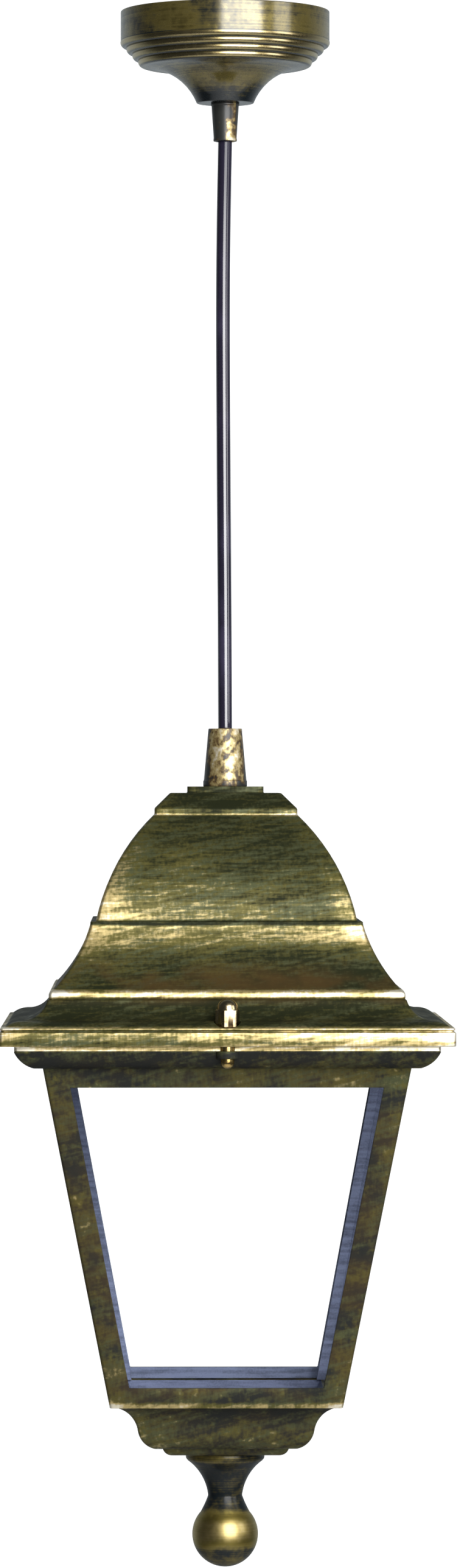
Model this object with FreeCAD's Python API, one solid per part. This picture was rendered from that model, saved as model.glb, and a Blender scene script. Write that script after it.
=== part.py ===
# Outdoor hanging lamp: a four-sided lantern on a cord below a round ceiling cup.
# Millimetres. The origin is the centre of the cup's ceiling face, +Z is up and the front faces -Y.
import FreeCAD
import Part
import math
import os

# Fits
FIT = 0.05
CORD_CLEARANCE = 0.35
THREAD_ENGAGEMENT = 6.0

# Ceiling cup
CUP_WALL = 1.2
CUP_RIM_HEIGHT = 11.0
CUP_RIB_COUNT = 4
CUP_RIB_RUN = 2.2
CUP_RIB_RISE = 2.4
CUP_RIB_BULGE = 0.6
CUP_THROAT_RADIUS = 30.2
CUP_THROAT_HEIGHT = 13.6
CUP_THROAT_SAG = 3.6
CUP_NOSE_RADIUS = 10.6

# Ceiling strap
STRAP_END_GAP = 1.8
STRAP_WIDTH = 14.0
STRAP_THICKNESS = 1.5
STRAP_DROP = 9.0
STRAP_FOOT = 12.0
STRAP_RAMP = 5.0
STRAP_SLOT_LENGTH = 8.0
STRAP_SLOT_WIDTH = 4.5

# Upper nipple and its nuts
UPPER_NIPPLE_WALL = 1.05
UPPER_NIPPLE_STAND = 1.5
STRAP_NUT_FLATS = 13.0
STRAP_NUT_HEIGHT = 3.0

# Cord grips and their set screws
UPPER_GRIP_LENGTH = 14.2
UPPER_GRIP_WALL = 1.3
UPPER_GRIP_LIP = 0.6
LOWER_GRIP_LENGTH = 21.6
LOWER_GRIP_WALL = 3.2
LOWER_GRIP_LIP = 2.65
GRIP_MOUTH_FLARE = 0.65
GRIP_MOUTH_DEPTH = 1.2
GRIP_RIM_ROUND = 0.4
UPPER_SCREW_RADIUS = 1.4
LOWER_SCREW_RADIUS = 2.0
SCREW_SLOT_WIDTH = 0.6
SCREW_SLOT_DEPTH = 0.7

# Cord: each point is how far it lies to the side, and how far below the upper grip's mouth
CORD_DIAMETER = 5.2
CORD_ROUTE = [(0.0, 0.0), (-0.55, 26.0), (-0.85, 60.0), (-0.7, 100.0), (-0.45, 140.0), (-0.15, 180.0),
              (0.0, 219.2)]
CORD_ARC_SHARE = 0.45
CORD_END_GAP = 0.4
LEAD_DIAMETER = 1.9
LEAD_SPREAD = 1.15
LEAD_BEND = 1.7

# Terminal block under the strap
BLOCK_LENGTH = 14.0
BLOCK_WIDTH = 17.0
BLOCK_HEIGHT = 9.0
BLOCK_BASE = 3.0
BLOCK_POLE_PITCH = 9.0
BLOCK_NUT_GAP = 1.5
CLAMP_DIAMETER = 4.6
CLAMP_BORE = 2.2
CLAMP_SCREW_DIAMETER = 2.6
CLAMP_SCREW_PITCH = 6.0
FIXING_SCREW_DIAMETER = 2.8
FIXING_HEAD_DIAMETER = 3.8
FIXING_HEAD_HEIGHT = 1.6

# Lower nipple, washer and nut
LOWER_NIPPLE_WALL = 2.05
ROOF_WASHER_RADIUS = 11.0
ROOF_WASHER_THICKNESS = 1.2
ROOF_NUT_FLATS = 14.0
ROOF_NUT_HEIGHT = 4.0

# Lampholder
HOLDER_NECK_RADIUS = 8.0
HOLDER_NECK_HEIGHT = 7.0
HOLDER_CAP_HEIGHT = 20.0
HOLDER_CAP_INSET = 1.0
HOLDER_CAP_BULGE = 2.2
HOLDER_RIM_HEIGHT = 4.0
HOLDER_WALL = 2.4
SKIRT_WALL = 2.5
SKIRT_TAPER = 1.4
SKIRT_LIP = 2.0
INSERT_RADIUS = 17.5
INSERT_HEIGHT = 8.0
SLEEVE_BORE_RADIUS = 13.3
SLEEVE_WALL = 0.6
SLEEVE_LENGTH = 20.0
SLEEVE_DROP = 4.0
CONTACT_RADIUS = 4.0
CONTACT_HEIGHT = 3.0
HOLDER_SCREW_RADIUS = 1.9
HOLDER_SCREW_HEIGHT = 2.6
HOLDER_SCREW_OFFSET = 9.0

# Roof: its square mouldings from the top down, each standing out from the one above it by a step or a run
ROOF_WALL = 2.6
BOSS_HALF = 14.1
BOSS_HEIGHT = 2.4
CAP_STEP = 6.4
CAP_RUN = 5.9
CAP_SLOPE_HEIGHT = 5.8
CAP_EDGE_HEIGHT = 2.2
DOME_RUN = 21.5
DOME_HEIGHT = 39.0
DOME_BULGE = 3.4
LEDGE_STEP = 2.0
LEDGE_HEIGHT = 0.9
FLARE_RUN = 13.3
FLARE_HEIGHT = 23.6
FLARE_SAG = 1.6
BEAD_STEP = 1.6
BEAD_HEIGHT = 3.6
COVE_STEP = 0.5
COVE_RUN = 9.7
COVE_HEIGHT = 7.4
COVE_SAG = 2.1
CYMA_RUN = 5.8
CYMA_HEIGHT = 2.2
CYMA_BULGE = 0.5
FASCIA_STEP = 1.7
FASCIA_HEIGHT = 6.8
LIP_INSET = 5.3
LIP_HEIGHT = 1.7
EAVE_RING_WIDTH = 12.0

# Acorn nuts and studs that hold the body under the roof, at the front and the back
STUD_INSET = 6.0
STUD_RADIUS = 2.5
STUD_HOLE_CLEARANCE = 0.2
STUD_TIP = 3.6
STUD_LUG_RADIUS = 4.2
STUD_LUG_HEIGHT = 2.8
NUT_SEAT_RADIUS = 4.9
NUT_FLATS = 8.0
NUT_HEX_HEIGHT = 6.6
NUT_DOME_RADIUS = 3.9
NUT_THREAD_DEPTH = 7.0
NUT_TURN = -16.0

# Lantern body, from the top down
BODY_WALL = 2.3
CROWN_LIP = 0.6
CROWN_HEIGHT = 6.6
CROWN_RUN = 6.8
CROWN_BULGE = 0.95
CROWN_STEP = 3.4
FRAME_HEIGHT = 125.9
FRAME_TAPER = 24.2
TOP_RAIL = 7.2
BOTTOM_RAIL = 7.5
STILE_WIDTH = 8.6
PANE_LEDGE_DROP = 4.2
PANE_LEDGE_WIDTH = 4.2
BASE_STEP = 2.1
BASE_COVE_RUN = 8.2
BASE_COVE_HEIGHT = 9.6
BASE_COVE_SAG = 1.9
BASE_OVOLO_RUN = 5.8
BASE_OVOLO_HEIGHT = 6.9
BASE_OVOLO_BULGE = 1.2
BASE_FOOT_STEP = 3.3
BASE_FOOT_RUN = 2.7
BASE_FOOT_HEIGHT = 3.0
BASE_FOOT_BULGE = 0.6
BASE_FLOOR = 3.0

# Panes and the corner posts whose grooves hold them
PANE_THICKNESS = 2.4
PANE_CLEARANCE = 0.2
PANE_EDGE_INSET = 4.4
PANE_TOP_LAP = 5.0
POST_WIDTH = 6.0

# Finial and its screw
FINIAL_RIM_RADIUS = 14.7
FINIAL_RIM_HEIGHT = 3.8
FINIAL_NECK_RADIUS = 6.35
FINIAL_NECK_DROP = 13.1
FINIAL_NECK_SAG = 1.6
BALL_RADIUS = 12.3
BALL_DROP = 14.4
BALL_TOP_RADIUS = 9.2
BALL_COVE_SAG = 0.15
FINIAL_SCREW_RADIUS = 3.0
FINIAL_SCREW_HEAD_RADIUS = 5.0
FINIAL_SCREW_HEAD_HEIGHT = 3.4
FINIAL_SCREW_BITE = 11.0
FINIAL_WASHER_RADIUS = 8.0
FINIAL_WASHER_THICKNESS = 1.2

# Half widths and radii that follow from them
CORD_RADIUS = CORD_DIAMETER / 2
CORD_BORE = CORD_RADIUS + CORD_CLEARANCE
CUP_RADIUS = CUP_THROAT_RADIUS + CUP_RIB_COUNT * CUP_RIB_RUN
STRAP_LENGTH = 2 * (CUP_RADIUS - CUP_WALL - STRAP_END_GAP)
UPPER_NIPPLE_RADIUS = CORD_BORE + UPPER_NIPPLE_WALL
UPPER_GRIP_TOP_RADIUS = UPPER_NIPPLE_RADIUS + UPPER_GRIP_WALL
UPPER_GRIP_MOUTH_RADIUS = CORD_BORE + GRIP_MOUTH_FLARE + UPPER_GRIP_LIP
LOWER_NIPPLE_RADIUS = CORD_BORE + LOWER_NIPPLE_WALL
LOWER_GRIP_FOOT_RADIUS = LOWER_NIPPLE_RADIUS + LOWER_GRIP_WALL
LOWER_GRIP_MOUTH_RADIUS = CORD_BORE + GRIP_MOUTH_FLARE + LOWER_GRIP_LIP
SKIRT_RADIUS = INSERT_RADIUS + SKIRT_WALL
SKIRT_MOUTH_RADIUS = SKIRT_RADIUS - SKIRT_TAPER
SKIRT_LENGTH = INSERT_HEIGHT + SLEEVE_DROP + SLEEVE_LENGTH + SKIRT_LIP
HOLDER_CAP_RADIUS = SKIRT_RADIUS - HOLDER_CAP_INSET
CAP_TOP_HALF = BOSS_HALF + CAP_STEP
CAP_HALF = CAP_TOP_HALF + CAP_RUN
DOME_FOOT_HALF = CAP_HALF + DOME_RUN
LEDGE_HALF = DOME_FOOT_HALF + LEDGE_STEP
FLARE_FOOT_HALF = LEDGE_HALF + FLARE_RUN
BEAD_HALF = FLARE_FOOT_HALF + BEAD_STEP
COVE_HALF = BEAD_HALF + COVE_STEP
COVE_FOOT_HALF = COVE_HALF + COVE_RUN
CYMA_FOOT_HALF = COVE_FOOT_HALF + CYMA_RUN
EAVE_HALF = CYMA_FOOT_HALF + FASCIA_STEP
EAVE_RING_HALF = EAVE_HALF - EAVE_RING_WIDTH
STUD_OFFSET = EAVE_HALF - STUD_INSET
LIP_HALF = EAVE_HALF - LIP_INSET
CROWN_FOOT_HALF = LIP_HALF - CROWN_RUN
FRAME_TOP_HALF = CROWN_FOOT_HALF - CROWN_STEP
FRAME_FOOT_HALF = FRAME_TOP_HALF - FRAME_TAPER
BASE_TOP_HALF = FRAME_FOOT_HALF - BASE_STEP
BASE_WAIST_HALF = BASE_TOP_HALF - BASE_COVE_RUN
BASE_OVOLO_HALF = BASE_WAIST_HALF - BASE_OVOLO_RUN
BASE_FOOT_TOP_HALF = BASE_OVOLO_HALF - BASE_FOOT_STEP
BASE_FOOT_HALF = BASE_FOOT_TOP_HALF - BASE_FOOT_RUN

# Levels, from the ceiling down
Z_RIB_FOOT = -CUP_RIM_HEIGHT - CUP_RIB_COUNT * CUP_RIB_RISE
Z_NOSE = Z_RIB_FOOT - CUP_THROAT_HEIGHT
Z_STRAP_TOP = -STRAP_DROP
Z_STRAP_FOOT = Z_STRAP_TOP - STRAP_THICKNESS
Z_UPPER_NIPPLE_TOP = Z_STRAP_TOP + STRAP_NUT_HEIGHT + UPPER_NIPPLE_STAND
Z_UPPER_MOUTH = Z_NOSE - UPPER_GRIP_LENGTH
Z_LOWER_MOUTH = Z_UPPER_MOUTH - CORD_ROUTE[-1][1]
Z_ROOF_TOP = Z_LOWER_MOUTH - LOWER_GRIP_LENGTH
Z_CAP_TOP = Z_ROOF_TOP - BOSS_HEIGHT
Z_CAP_EDGE = Z_CAP_TOP - CAP_SLOPE_HEIGHT
Z_DOME = Z_CAP_EDGE - CAP_EDGE_HEIGHT
Z_ROOF_LEDGE = Z_DOME - DOME_HEIGHT
Z_FLARE = Z_ROOF_LEDGE - LEDGE_HEIGHT
Z_BEAD = Z_FLARE - FLARE_HEIGHT
Z_COVE = Z_BEAD - BEAD_HEIGHT
Z_CYMA = Z_COVE - COVE_HEIGHT
Z_FASCIA = Z_CYMA - CYMA_HEIGHT
Z_EAVE = Z_FASCIA - FASCIA_HEIGHT
Z_BODY_TOP = Z_EAVE - LIP_HEIGHT
Z_NUT_SEAT = Z_FASCIA
Z_STUD_TIP = Z_BODY_TOP - STUD_LUG_HEIGHT - STUD_TIP
Z_FRAME_TOP = Z_BODY_TOP - CROWN_HEIGHT
Z_FRAME_FOOT = Z_FRAME_TOP - FRAME_HEIGHT
Z_WINDOW_TOP = Z_FRAME_TOP - TOP_RAIL
Z_WINDOW_FOOT = Z_FRAME_FOOT + BOTTOM_RAIL
Z_LEDGE = Z_WINDOW_FOOT - PANE_LEDGE_DROP
Z_PANE_TOP = Z_WINDOW_TOP + PANE_TOP_LAP
Z_BASE_WAIST = Z_FRAME_FOOT - BASE_COVE_HEIGHT
Z_BASE_FOOT_TOP = Z_BASE_WAIST - BASE_OVOLO_HEIGHT
Z_BASE_FOOT = Z_BASE_FOOT_TOP - BASE_FOOT_HEIGHT
Z_FLOOR = Z_BASE_FOOT + BASE_FLOOR
Z_ROOF_CEILING = Z_CAP_TOP - ROOF_WALL
Z_ROOF_NUT = Z_ROOF_CEILING - ROOF_WASHER_THICKNESS
Z_HOLDER = Z_ROOF_NUT - ROOF_NUT_HEIGHT
Z_LOWER_NIPPLE_FOOT = Z_HOLDER - THREAD_ENGAGEMENT
Z_INSERT = Z_HOLDER - HOLDER_CAP_HEIGHT
Z_INSERT_FOOT = Z_INSERT - INSERT_HEIGHT
Z_SLEEVE = Z_INSERT_FOOT - SLEEVE_DROP

UP = FreeCAD.Vector(0, 0, 1)
DOWN = FreeCAD.Vector(0, 0, -1)
CENTRE = FreeCAD.Vector(0, 0, 0)


def at(x, y, z):
    """A point of the lamp."""
    return FreeCAD.Vector(x, y, z)


def section(points):
    """A closed face in the XZ plane. A third number on a point bows the line to it, leftwards."""
    edges = []
    for start, end in zip(points, points[1:] + points[:1]):
        a = at(start[0], 0, start[1])
        b = at(end[0], 0, end[1])
        if len(end) == 3:
            left = at(a.z - b.z, 0, b.x - a.x).normalize()
            edges.append(Part.Arc(a, (a + b) * 0.5 + left * end[2], b).toShape())
        else:
            edges.append(Part.LineSegment(a, b).toShape())
    return Part.Face(Part.Wire(edges))


def turned(points):
    """A round piece: the section turned about the lamp's axis."""
    return section(points).revolve(CENTRE, UP, 360)


def square(points):
    """A square moulding with mitred corners. The points run down its side, from the axis to the axis."""
    pairs = list(zip(points, points[1:]))[:0:-1]
    mirrored = [(-here[0], here[1]) + after[2:] for here, after in pairs]
    width = 4 * max(point[0] for point in points)
    slab = section(points + mirrored).extrude(at(0, width, 0))
    slab.translate(at(0, -width / 2, 0))
    across = slab.copy()
    across.rotate(CENTRE, UP, 90)
    return slab.common(across)


def dome_bow(radius, height):
    """How far the side of a round cap bows out from the straight line between its rim and its crown."""
    ball = (radius ** 2 + height ** 2) / (2 * height)
    return ball - math.sqrt(ball ** 2 - (radius ** 2 + height ** 2) / 4)


def rod(radius, start, end):
    """A straight round bar between two points."""
    way = end - start
    return Part.makeCylinder(radius, way.Length, start, way)


def hexagon(flats, z_low, height):
    """A hexagonal bar about the axis, with flats facing +X and -X."""
    corner = flats / math.sqrt(3)
    angles = [math.radians(30 + 60 * i) for i in range(7)]
    outline = Part.makePolygon([at(corner * math.cos(t), corner * math.sin(t), z_low) for t in angles])
    return Part.Face(outline).extrude(at(0, 0, height))


def frustum(outline_at, z_low, z_high):
    """A solid with flat sides between one outline at two levels."""
    wires = []
    for z in (z_low, z_high):
        corners = [at(x, y, z) for x, y in outline_at(z)]
        wires.append(Part.makePolygon(corners + corners[:1]))
    return Part.makeLoft(wires, True, True)


def routed(points, radius, bends):
    """A tube along straight runs joined by tangent arcs with the given bend radii, and its path."""
    edges = []
    last = points[0]
    for here, after, bend in zip(points[1:], points[2:], bends):
        along = (here - last).normalize()
        onward = (after - here).normalize()
        half_turn = along.getAngle(onward) / 2
        reach = bend * math.tan(half_turn)
        start = here - along * reach
        end = here + onward * reach
        middle = here + (onward - along).normalize() * bend * (1 / math.cos(half_turn) - 1)
        edges.append(Part.LineSegment(last, start).toShape())
        edges.append(Part.Arc(start, middle, end).toShape())
        last = end
    edges.append(Part.LineSegment(last, points[-1]).toShape())
    path = Part.Wire(edges)
    ring = Part.Wire(Part.makeCircle(radius, points[0], points[1] - points[0]))
    return path.makePipeShell([ring], True, False), path


def around(shape, angle):
    """A copy turned about the lamp's axis."""
    copy = shape.copy()
    copy.rotate(CENTRE, UP, angle)
    return copy


def moved(shape, x, y, z):
    """A copy moved aside."""
    copy = shape.copy()
    copy.translate(at(x, y, z))
    return copy


def one_solid(shape):
    """A boolean result as its single solid."""
    return shape.removeSplitter().Solids[0]


# Ceiling cup

def canopy_cup():
    """A spun cup: plain rim, a stair of small beads, a bell-shaped throat and a flat nose with a hole."""
    hole = UPPER_NIPPLE_RADIUS + FIT
    outside = [(CUP_RADIUS - CUP_WALL, 0), (CUP_RADIUS, 0), (CUP_RADIUS, -CUP_RIM_HEIGHT)]
    for i in range(1, CUP_RIB_COUNT + 1):
        outside.append((CUP_RADIUS - i * CUP_RIB_RUN, -CUP_RIM_HEIGHT - i * CUP_RIB_RISE, CUP_RIB_BULGE))
    outside += [(CUP_NOSE_RADIUS, Z_NOSE, -CUP_THROAT_SAG), (hole, Z_NOSE)]
    inside = [
        (hole, Z_NOSE + CUP_WALL),
        (CUP_NOSE_RADIUS - CUP_WALL, Z_NOSE + CUP_WALL),
        (CUP_THROAT_RADIUS - CUP_WALL / 2, Z_RIB_FOOT + CUP_WALL, CUP_THROAT_SAG),
        (CUP_RADIUS - CUP_WALL, -CUP_RIM_HEIGHT + CUP_WALL / 2),
    ]
    return turned(outside + inside)


def ceiling_strap():
    """A folded strap: two slotted feet on the ceiling, and a lowered middle that holds the nipple."""
    tip = STRAP_LENGTH / 2
    knee = tip - STRAP_FOOT
    middle = knee - STRAP_RAMP
    shift = STRAP_THICKNESS * math.tan(math.atan2(STRAP_DROP, STRAP_RAMP) / 2)
    top = [(middle, Z_STRAP_TOP), (knee, 0), (tip, 0)]
    under = [(tip, -STRAP_THICKNESS), (knee + shift, -STRAP_THICKNESS), (middle + shift, Z_STRAP_FOOT)]
    half = top + under
    other = [(-x, z) for x, z in reversed(half)]
    strap = section(half + other).extrude(at(0, STRAP_WIDTH, 0))
    strap.translate(at(0, -STRAP_WIDTH / 2, 0))
    reach = (STRAP_SLOT_LENGTH - STRAP_SLOT_WIDTH) / 2
    cuts = [rod(UPPER_NIPPLE_RADIUS + FIT, at(0, 0, Z_STRAP_FOOT), at(0, 0, Z_STRAP_TOP))]
    for side in (-1, 1):
        x = side * slot_offset()
        for end in (x - reach, x + reach):
            cuts.append(rod(STRAP_SLOT_WIDTH / 2, at(end, 0, -STRAP_THICKNESS), at(end, 0, 0)))
        cuts.append(Part.makeBox(2 * reach, STRAP_SLOT_WIDTH, STRAP_THICKNESS,
                                 at(x - reach, -STRAP_SLOT_WIDTH / 2, -STRAP_THICKNESS)))
    cuts.append(rod(FIXING_SCREW_DIAMETER / 2 + FIT, at(block_middle(), 0, Z_STRAP_FOOT),
                    at(block_middle(), 0, Z_STRAP_TOP)))
    return one_solid(strap.cut(cuts))


def slot_offset():
    """How far each ceiling screw lies from the axis."""
    return (STRAP_LENGTH - STRAP_FOOT) / 2


def strap_nuts():
    """The two thin nuts that clamp the nipple to the strap."""
    bore = rod(UPPER_NIPPLE_RADIUS + FIT, at(0, 0, Z_NOSE), CENTRE)
    levels = (Z_STRAP_TOP, Z_STRAP_FOOT - STRAP_NUT_HEIGHT)
    return Part.makeCompound([hexagon(STRAP_NUT_FLATS, z, STRAP_NUT_HEIGHT).cut(bore) for z in levels])


def upper_nipple():
    """The hollow threaded tube from the strap down into the upper grip."""
    z_low = Z_NOSE - THREAD_ENGAGEMENT
    tube = rod(UPPER_NIPPLE_RADIUS, at(0, 0, z_low), at(0, 0, Z_UPPER_NIPPLE_TOP))
    return tube.cut(rod(CORD_BORE, at(0, 0, z_low), at(0, 0, Z_UPPER_NIPPLE_TOP)))


# Cord grips

def upper_cord_grip():
    """The cone under the cup: threaded on the nipple, and open at its foot for the cord."""
    z_thread = Z_NOSE - THREAD_ENGAGEMENT
    thread = UPPER_NIPPLE_RADIUS + FIT
    body = turned([
        (thread, Z_NOSE), (UPPER_GRIP_TOP_RADIUS, Z_NOSE),
        (UPPER_GRIP_MOUTH_RADIUS, Z_UPPER_MOUTH + GRIP_RIM_ROUND),
        (UPPER_GRIP_MOUTH_RADIUS - GRIP_RIM_ROUND, Z_UPPER_MOUTH, GRIP_RIM_ROUND / 3),
        (CORD_BORE + GRIP_MOUTH_FLARE, Z_UPPER_MOUTH), (CORD_BORE, Z_UPPER_MOUTH + GRIP_MOUTH_DEPTH),
        (CORD_BORE, z_thread), (thread, z_thread),
    ])
    return body.cut(rod(UPPER_SCREW_RADIUS + FIT, at(0, 0, z_upper_screw()),
                        at(0, 2 * UPPER_GRIP_TOP_RADIUS, z_upper_screw())))


def z_upper_screw():
    """The upper set screw's level, between the nipple's end and the free cord."""
    return (Z_NOSE - THREAD_ENGAGEMENT + Z_UPPER_MOUTH + CORD_RADIUS) / 2


def z_lower_screw():
    """The lower set screw's level, between the free cord and the nipple's end."""
    return (Z_LOWER_MOUTH - CORD_RADIUS + Z_ROOF_TOP + THREAD_ENGAGEMENT) / 2


def set_screw(radius, reach, z):
    """A slotted grub screw from the back, with its tip on the cord."""
    screw = rod(radius, at(0, CORD_RADIUS + FIT, z), at(0, reach, z))
    slot = Part.makeBox(2 * radius, SCREW_SLOT_DEPTH, SCREW_SLOT_WIDTH,
                        at(-radius, reach - SCREW_SLOT_DEPTH, z - SCREW_SLOT_WIDTH / 2))
    return screw.cut(slot)


def cone_radius(z, z_a, radius_a, z_b, radius_b):
    """A cone's radius at a level, from its radii at two others."""
    return radius_a + (radius_b - radius_a) * (z - z_a) / (z_b - z_a)


def upper_grip_screw():
    z = z_upper_screw()
    reach = cone_radius(z, Z_NOSE, UPPER_GRIP_TOP_RADIUS, Z_UPPER_MOUTH, UPPER_GRIP_MOUTH_RADIUS)
    return set_screw(UPPER_SCREW_RADIUS, reach, z)


def lower_cord_grip():
    """The taller cone on the roof: open at its top for the cord, and threaded on the lower nipple."""
    z_thread = Z_ROOF_TOP + THREAD_ENGAGEMENT
    thread = LOWER_NIPPLE_RADIUS + FIT
    body = turned([
        (CORD_BORE + GRIP_MOUTH_FLARE, Z_LOWER_MOUTH),
        (LOWER_GRIP_MOUTH_RADIUS - GRIP_RIM_ROUND, Z_LOWER_MOUTH),
        (LOWER_GRIP_MOUTH_RADIUS, Z_LOWER_MOUTH - GRIP_RIM_ROUND, GRIP_RIM_ROUND / 3),
        (LOWER_GRIP_FOOT_RADIUS, Z_ROOF_TOP), (thread, Z_ROOF_TOP), (thread, z_thread),
        (CORD_BORE, z_thread), (CORD_BORE, Z_LOWER_MOUTH - GRIP_MOUTH_DEPTH),
    ])
    return body.cut(rod(LOWER_SCREW_RADIUS + FIT, at(0, 0, z_lower_screw()),
                        at(0, 2 * LOWER_GRIP_FOOT_RADIUS, z_lower_screw())))


def lower_grip_screw():
    z = z_lower_screw()
    reach = cone_radius(z, Z_LOWER_MOUTH, LOWER_GRIP_MOUTH_RADIUS, Z_ROOF_TOP, LOWER_GRIP_FOOT_RADIUS)
    return set_screw(LOWER_SCREW_RADIUS, reach, z)


# Cord and leads

def cord():
    """The free cord, with a round end that rolls in each grip's mouth."""
    points = [at(x, 0, Z_UPPER_MOUTH - drop) for x, drop in CORD_ROUTE]
    bends = []
    for before, here, after in zip(points, points[1:], points[2:]):
        turn = (here - before).getAngle(after - here)
        shorter = min((here - before).Length, (after - here).Length)
        bends.append(CORD_ARC_SHARE * shorter / math.tan(turn / 2))
    tube, path = routed(points, CORD_RADIUS, bends)
    print("cord bend radii, mm:", [round(bend) for bend in bends])
    print("cord tube volume and section times length, mm3:",
          round(tube.Volume, 1), round(math.pi * CORD_RADIUS ** 2 * path.Length, 1))
    ends = [Part.makeSphere(CORD_RADIUS, points[0], points[0] - points[1], 0, 90, 360),
            Part.makeSphere(CORD_RADIUS, points[-1], points[-1] - points[-2], 0, 90, 360)]
    return tube.fuse(ends).Solids[0]


def upper_cord_end():
    """The cord held in the upper grip and nipple."""
    z_low = Z_UPPER_MOUTH + CORD_RADIUS + CORD_END_GAP
    return rod(CORD_RADIUS, at(0, 0, z_low), at(0, 0, Z_UPPER_NIPPLE_TOP))


def lower_cord_end():
    """The cord held in the lower grip and nipple."""
    z_high = Z_LOWER_MOUTH - CORD_RADIUS - CORD_END_GAP
    return rod(CORD_RADIUS, at(0, 0, Z_LOWER_NIPPLE_FOOT), at(0, 0, z_high))


def upper_lead(side):
    """A lead from the cord's end, over the nut and the strap's edge, to its clamp in the terminal block."""
    radius = LEAD_DIAMETER / 2
    z_over = Z_UPPER_NIPPLE_TOP + LEAD_BEND + radius
    aside = STRAP_WIDTH / 2 + LEAD_DIAMETER
    entry = block_start() + THREAD_ENGAGEMENT / 2
    points = [
        at(0, side * LEAD_SPREAD, Z_UPPER_NIPPLE_TOP), at(0, side * LEAD_SPREAD, z_over),
        at(0, side * aside, z_over), at(0, side * aside, z_clamp()),
        at(block_start() - LEAD_BEND, side * BLOCK_POLE_PITCH / 2, z_clamp()),
        at(entry, side * BLOCK_POLE_PITCH / 2, z_clamp()),
    ]
    return routed(points, radius, [LEAD_BEND] * 4)[0]


def lower_lead(side):
    """A lead from the cord's end to its screw on the lampholder's insert."""
    radius = LEAD_DIAMETER / 2
    z_screw = Z_INSERT + HOLDER_SCREW_HEIGHT
    z_out = Z_LOWER_NIPPLE_FOOT - LEAD_BEND - radius
    points = [
        at(side * LEAD_SPREAD, 0, Z_LOWER_NIPPLE_FOOT), at(side * LEAD_SPREAD, 0, z_out),
        at(side * HOLDER_SCREW_OFFSET, 0, z_screw + 2 * LEAD_BEND),
        at(side * HOLDER_SCREW_OFFSET, 0, z_screw),
    ]
    return routed(points, radius, [LEAD_BEND] * 2)[0]


# Terminal block

def block_start():
    """Where the block begins beside the strap's nut."""
    return STRAP_NUT_FLATS / 2 + BLOCK_NUT_GAP


def block_middle():
    return block_start() + BLOCK_LENGTH / 2


def z_clamp():
    """The level of the brass clamps."""
    return Z_STRAP_FOOT - BLOCK_BASE - CLAMP_DIAMETER / 2


def clamp_screw_places():
    """Where the clamp screws stand."""
    return [(block_middle() + end * CLAMP_SCREW_PITCH / 2, side * BLOCK_POLE_PITCH / 2)
            for end in (-1, 1) for side in (-1, 1)]


def terminal_block():
    """A two-pole block: a base against the strap and a rounded hump over each clamp."""
    x = block_start()
    z_low = Z_STRAP_FOOT - BLOCK_HEIGHT
    hump = (BLOCK_WIDTH - BLOCK_POLE_PITCH) / 2
    body = Part.makeBox(BLOCK_LENGTH, BLOCK_WIDTH, BLOCK_BASE,
                        at(x, -BLOCK_WIDTH / 2, Z_STRAP_FOOT - BLOCK_BASE))
    cuts = []
    for side in (-1, 1):
        y = side * BLOCK_POLE_PITCH / 2
        body = body.fuse(Part.makeBox(BLOCK_LENGTH, 2 * hump, BLOCK_HEIGHT - BLOCK_BASE,
                                      at(x, y - hump, z_low)))
        cuts.append(rod(CLAMP_DIAMETER / 2 + FIT, at(x, y, z_clamp()), at(x + BLOCK_LENGTH, y, z_clamp())))
    for px, py in clamp_screw_places():
        cuts.append(rod(CLAMP_SCREW_DIAMETER / 2 + FIT, at(px, py, z_low), at(px, py, z_clamp())))
    fixing = at(block_middle(), 0, Z_STRAP_FOOT)
    cuts.append(rod(FIXING_SCREW_DIAMETER / 2 + FIT, fixing + DOWN * BLOCK_HEIGHT, fixing))
    cuts.append(rod(FIXING_HEAD_DIAMETER / 2 + FIT, fixing + DOWN * BLOCK_HEIGHT, fixing + DOWN * BLOCK_BASE))
    return one_solid(body.cut(cuts))


def terminal_clamps():
    """The two brass tubes that the leads go into."""
    x = block_start()
    tubes = []
    for side in (-1, 1):
        start = at(x, side * BLOCK_POLE_PITCH / 2, z_clamp())
        end = start + at(BLOCK_LENGTH, 0, 0)
        holes = [rod(CLAMP_BORE / 2, start, end)]
        for px, py in clamp_screw_places():
            screw_hole = at(px, py, z_clamp())
            holes.append(rod(CLAMP_SCREW_DIAMETER / 2 + FIT, screw_hole + DOWN * CLAMP_DIAMETER, screw_hole))
        tubes.append(rod(CLAMP_DIAMETER / 2, start, end).cut(holes))
    return Part.makeCompound(tubes)


def terminal_screws():
    """The clamp screws, with their tips on the leads' level."""
    z_low = Z_STRAP_FOOT - BLOCK_HEIGHT + SCREW_SLOT_DEPTH
    screws = []
    for px, py in clamp_screw_places():
        screw = rod(CLAMP_SCREW_DIAMETER / 2, at(px, py, z_low), at(px, py, z_clamp() - CLAMP_BORE / 2))
        slot = Part.makeBox(CLAMP_SCREW_DIAMETER, SCREW_SLOT_WIDTH, SCREW_SLOT_DEPTH,
                            at(px - CLAMP_SCREW_DIAMETER / 2, py - SCREW_SLOT_WIDTH / 2, z_low))
        screws.append(screw.cut(slot))
    return Part.makeCompound(screws)


def terminal_fixing_screw():
    """The screw up through the block into the strap."""
    seat = at(block_middle(), 0, Z_STRAP_FOOT - BLOCK_BASE)
    shank = rod(FIXING_SCREW_DIAMETER / 2, seat, at(block_middle(), 0, Z_STRAP_TOP))
    head = rod(FIXING_HEAD_DIAMETER / 2, seat + DOWN * FIXING_HEAD_HEIGHT, seat)
    return one_solid(shank.fuse(head))


# Lower nipple and lampholder

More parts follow.
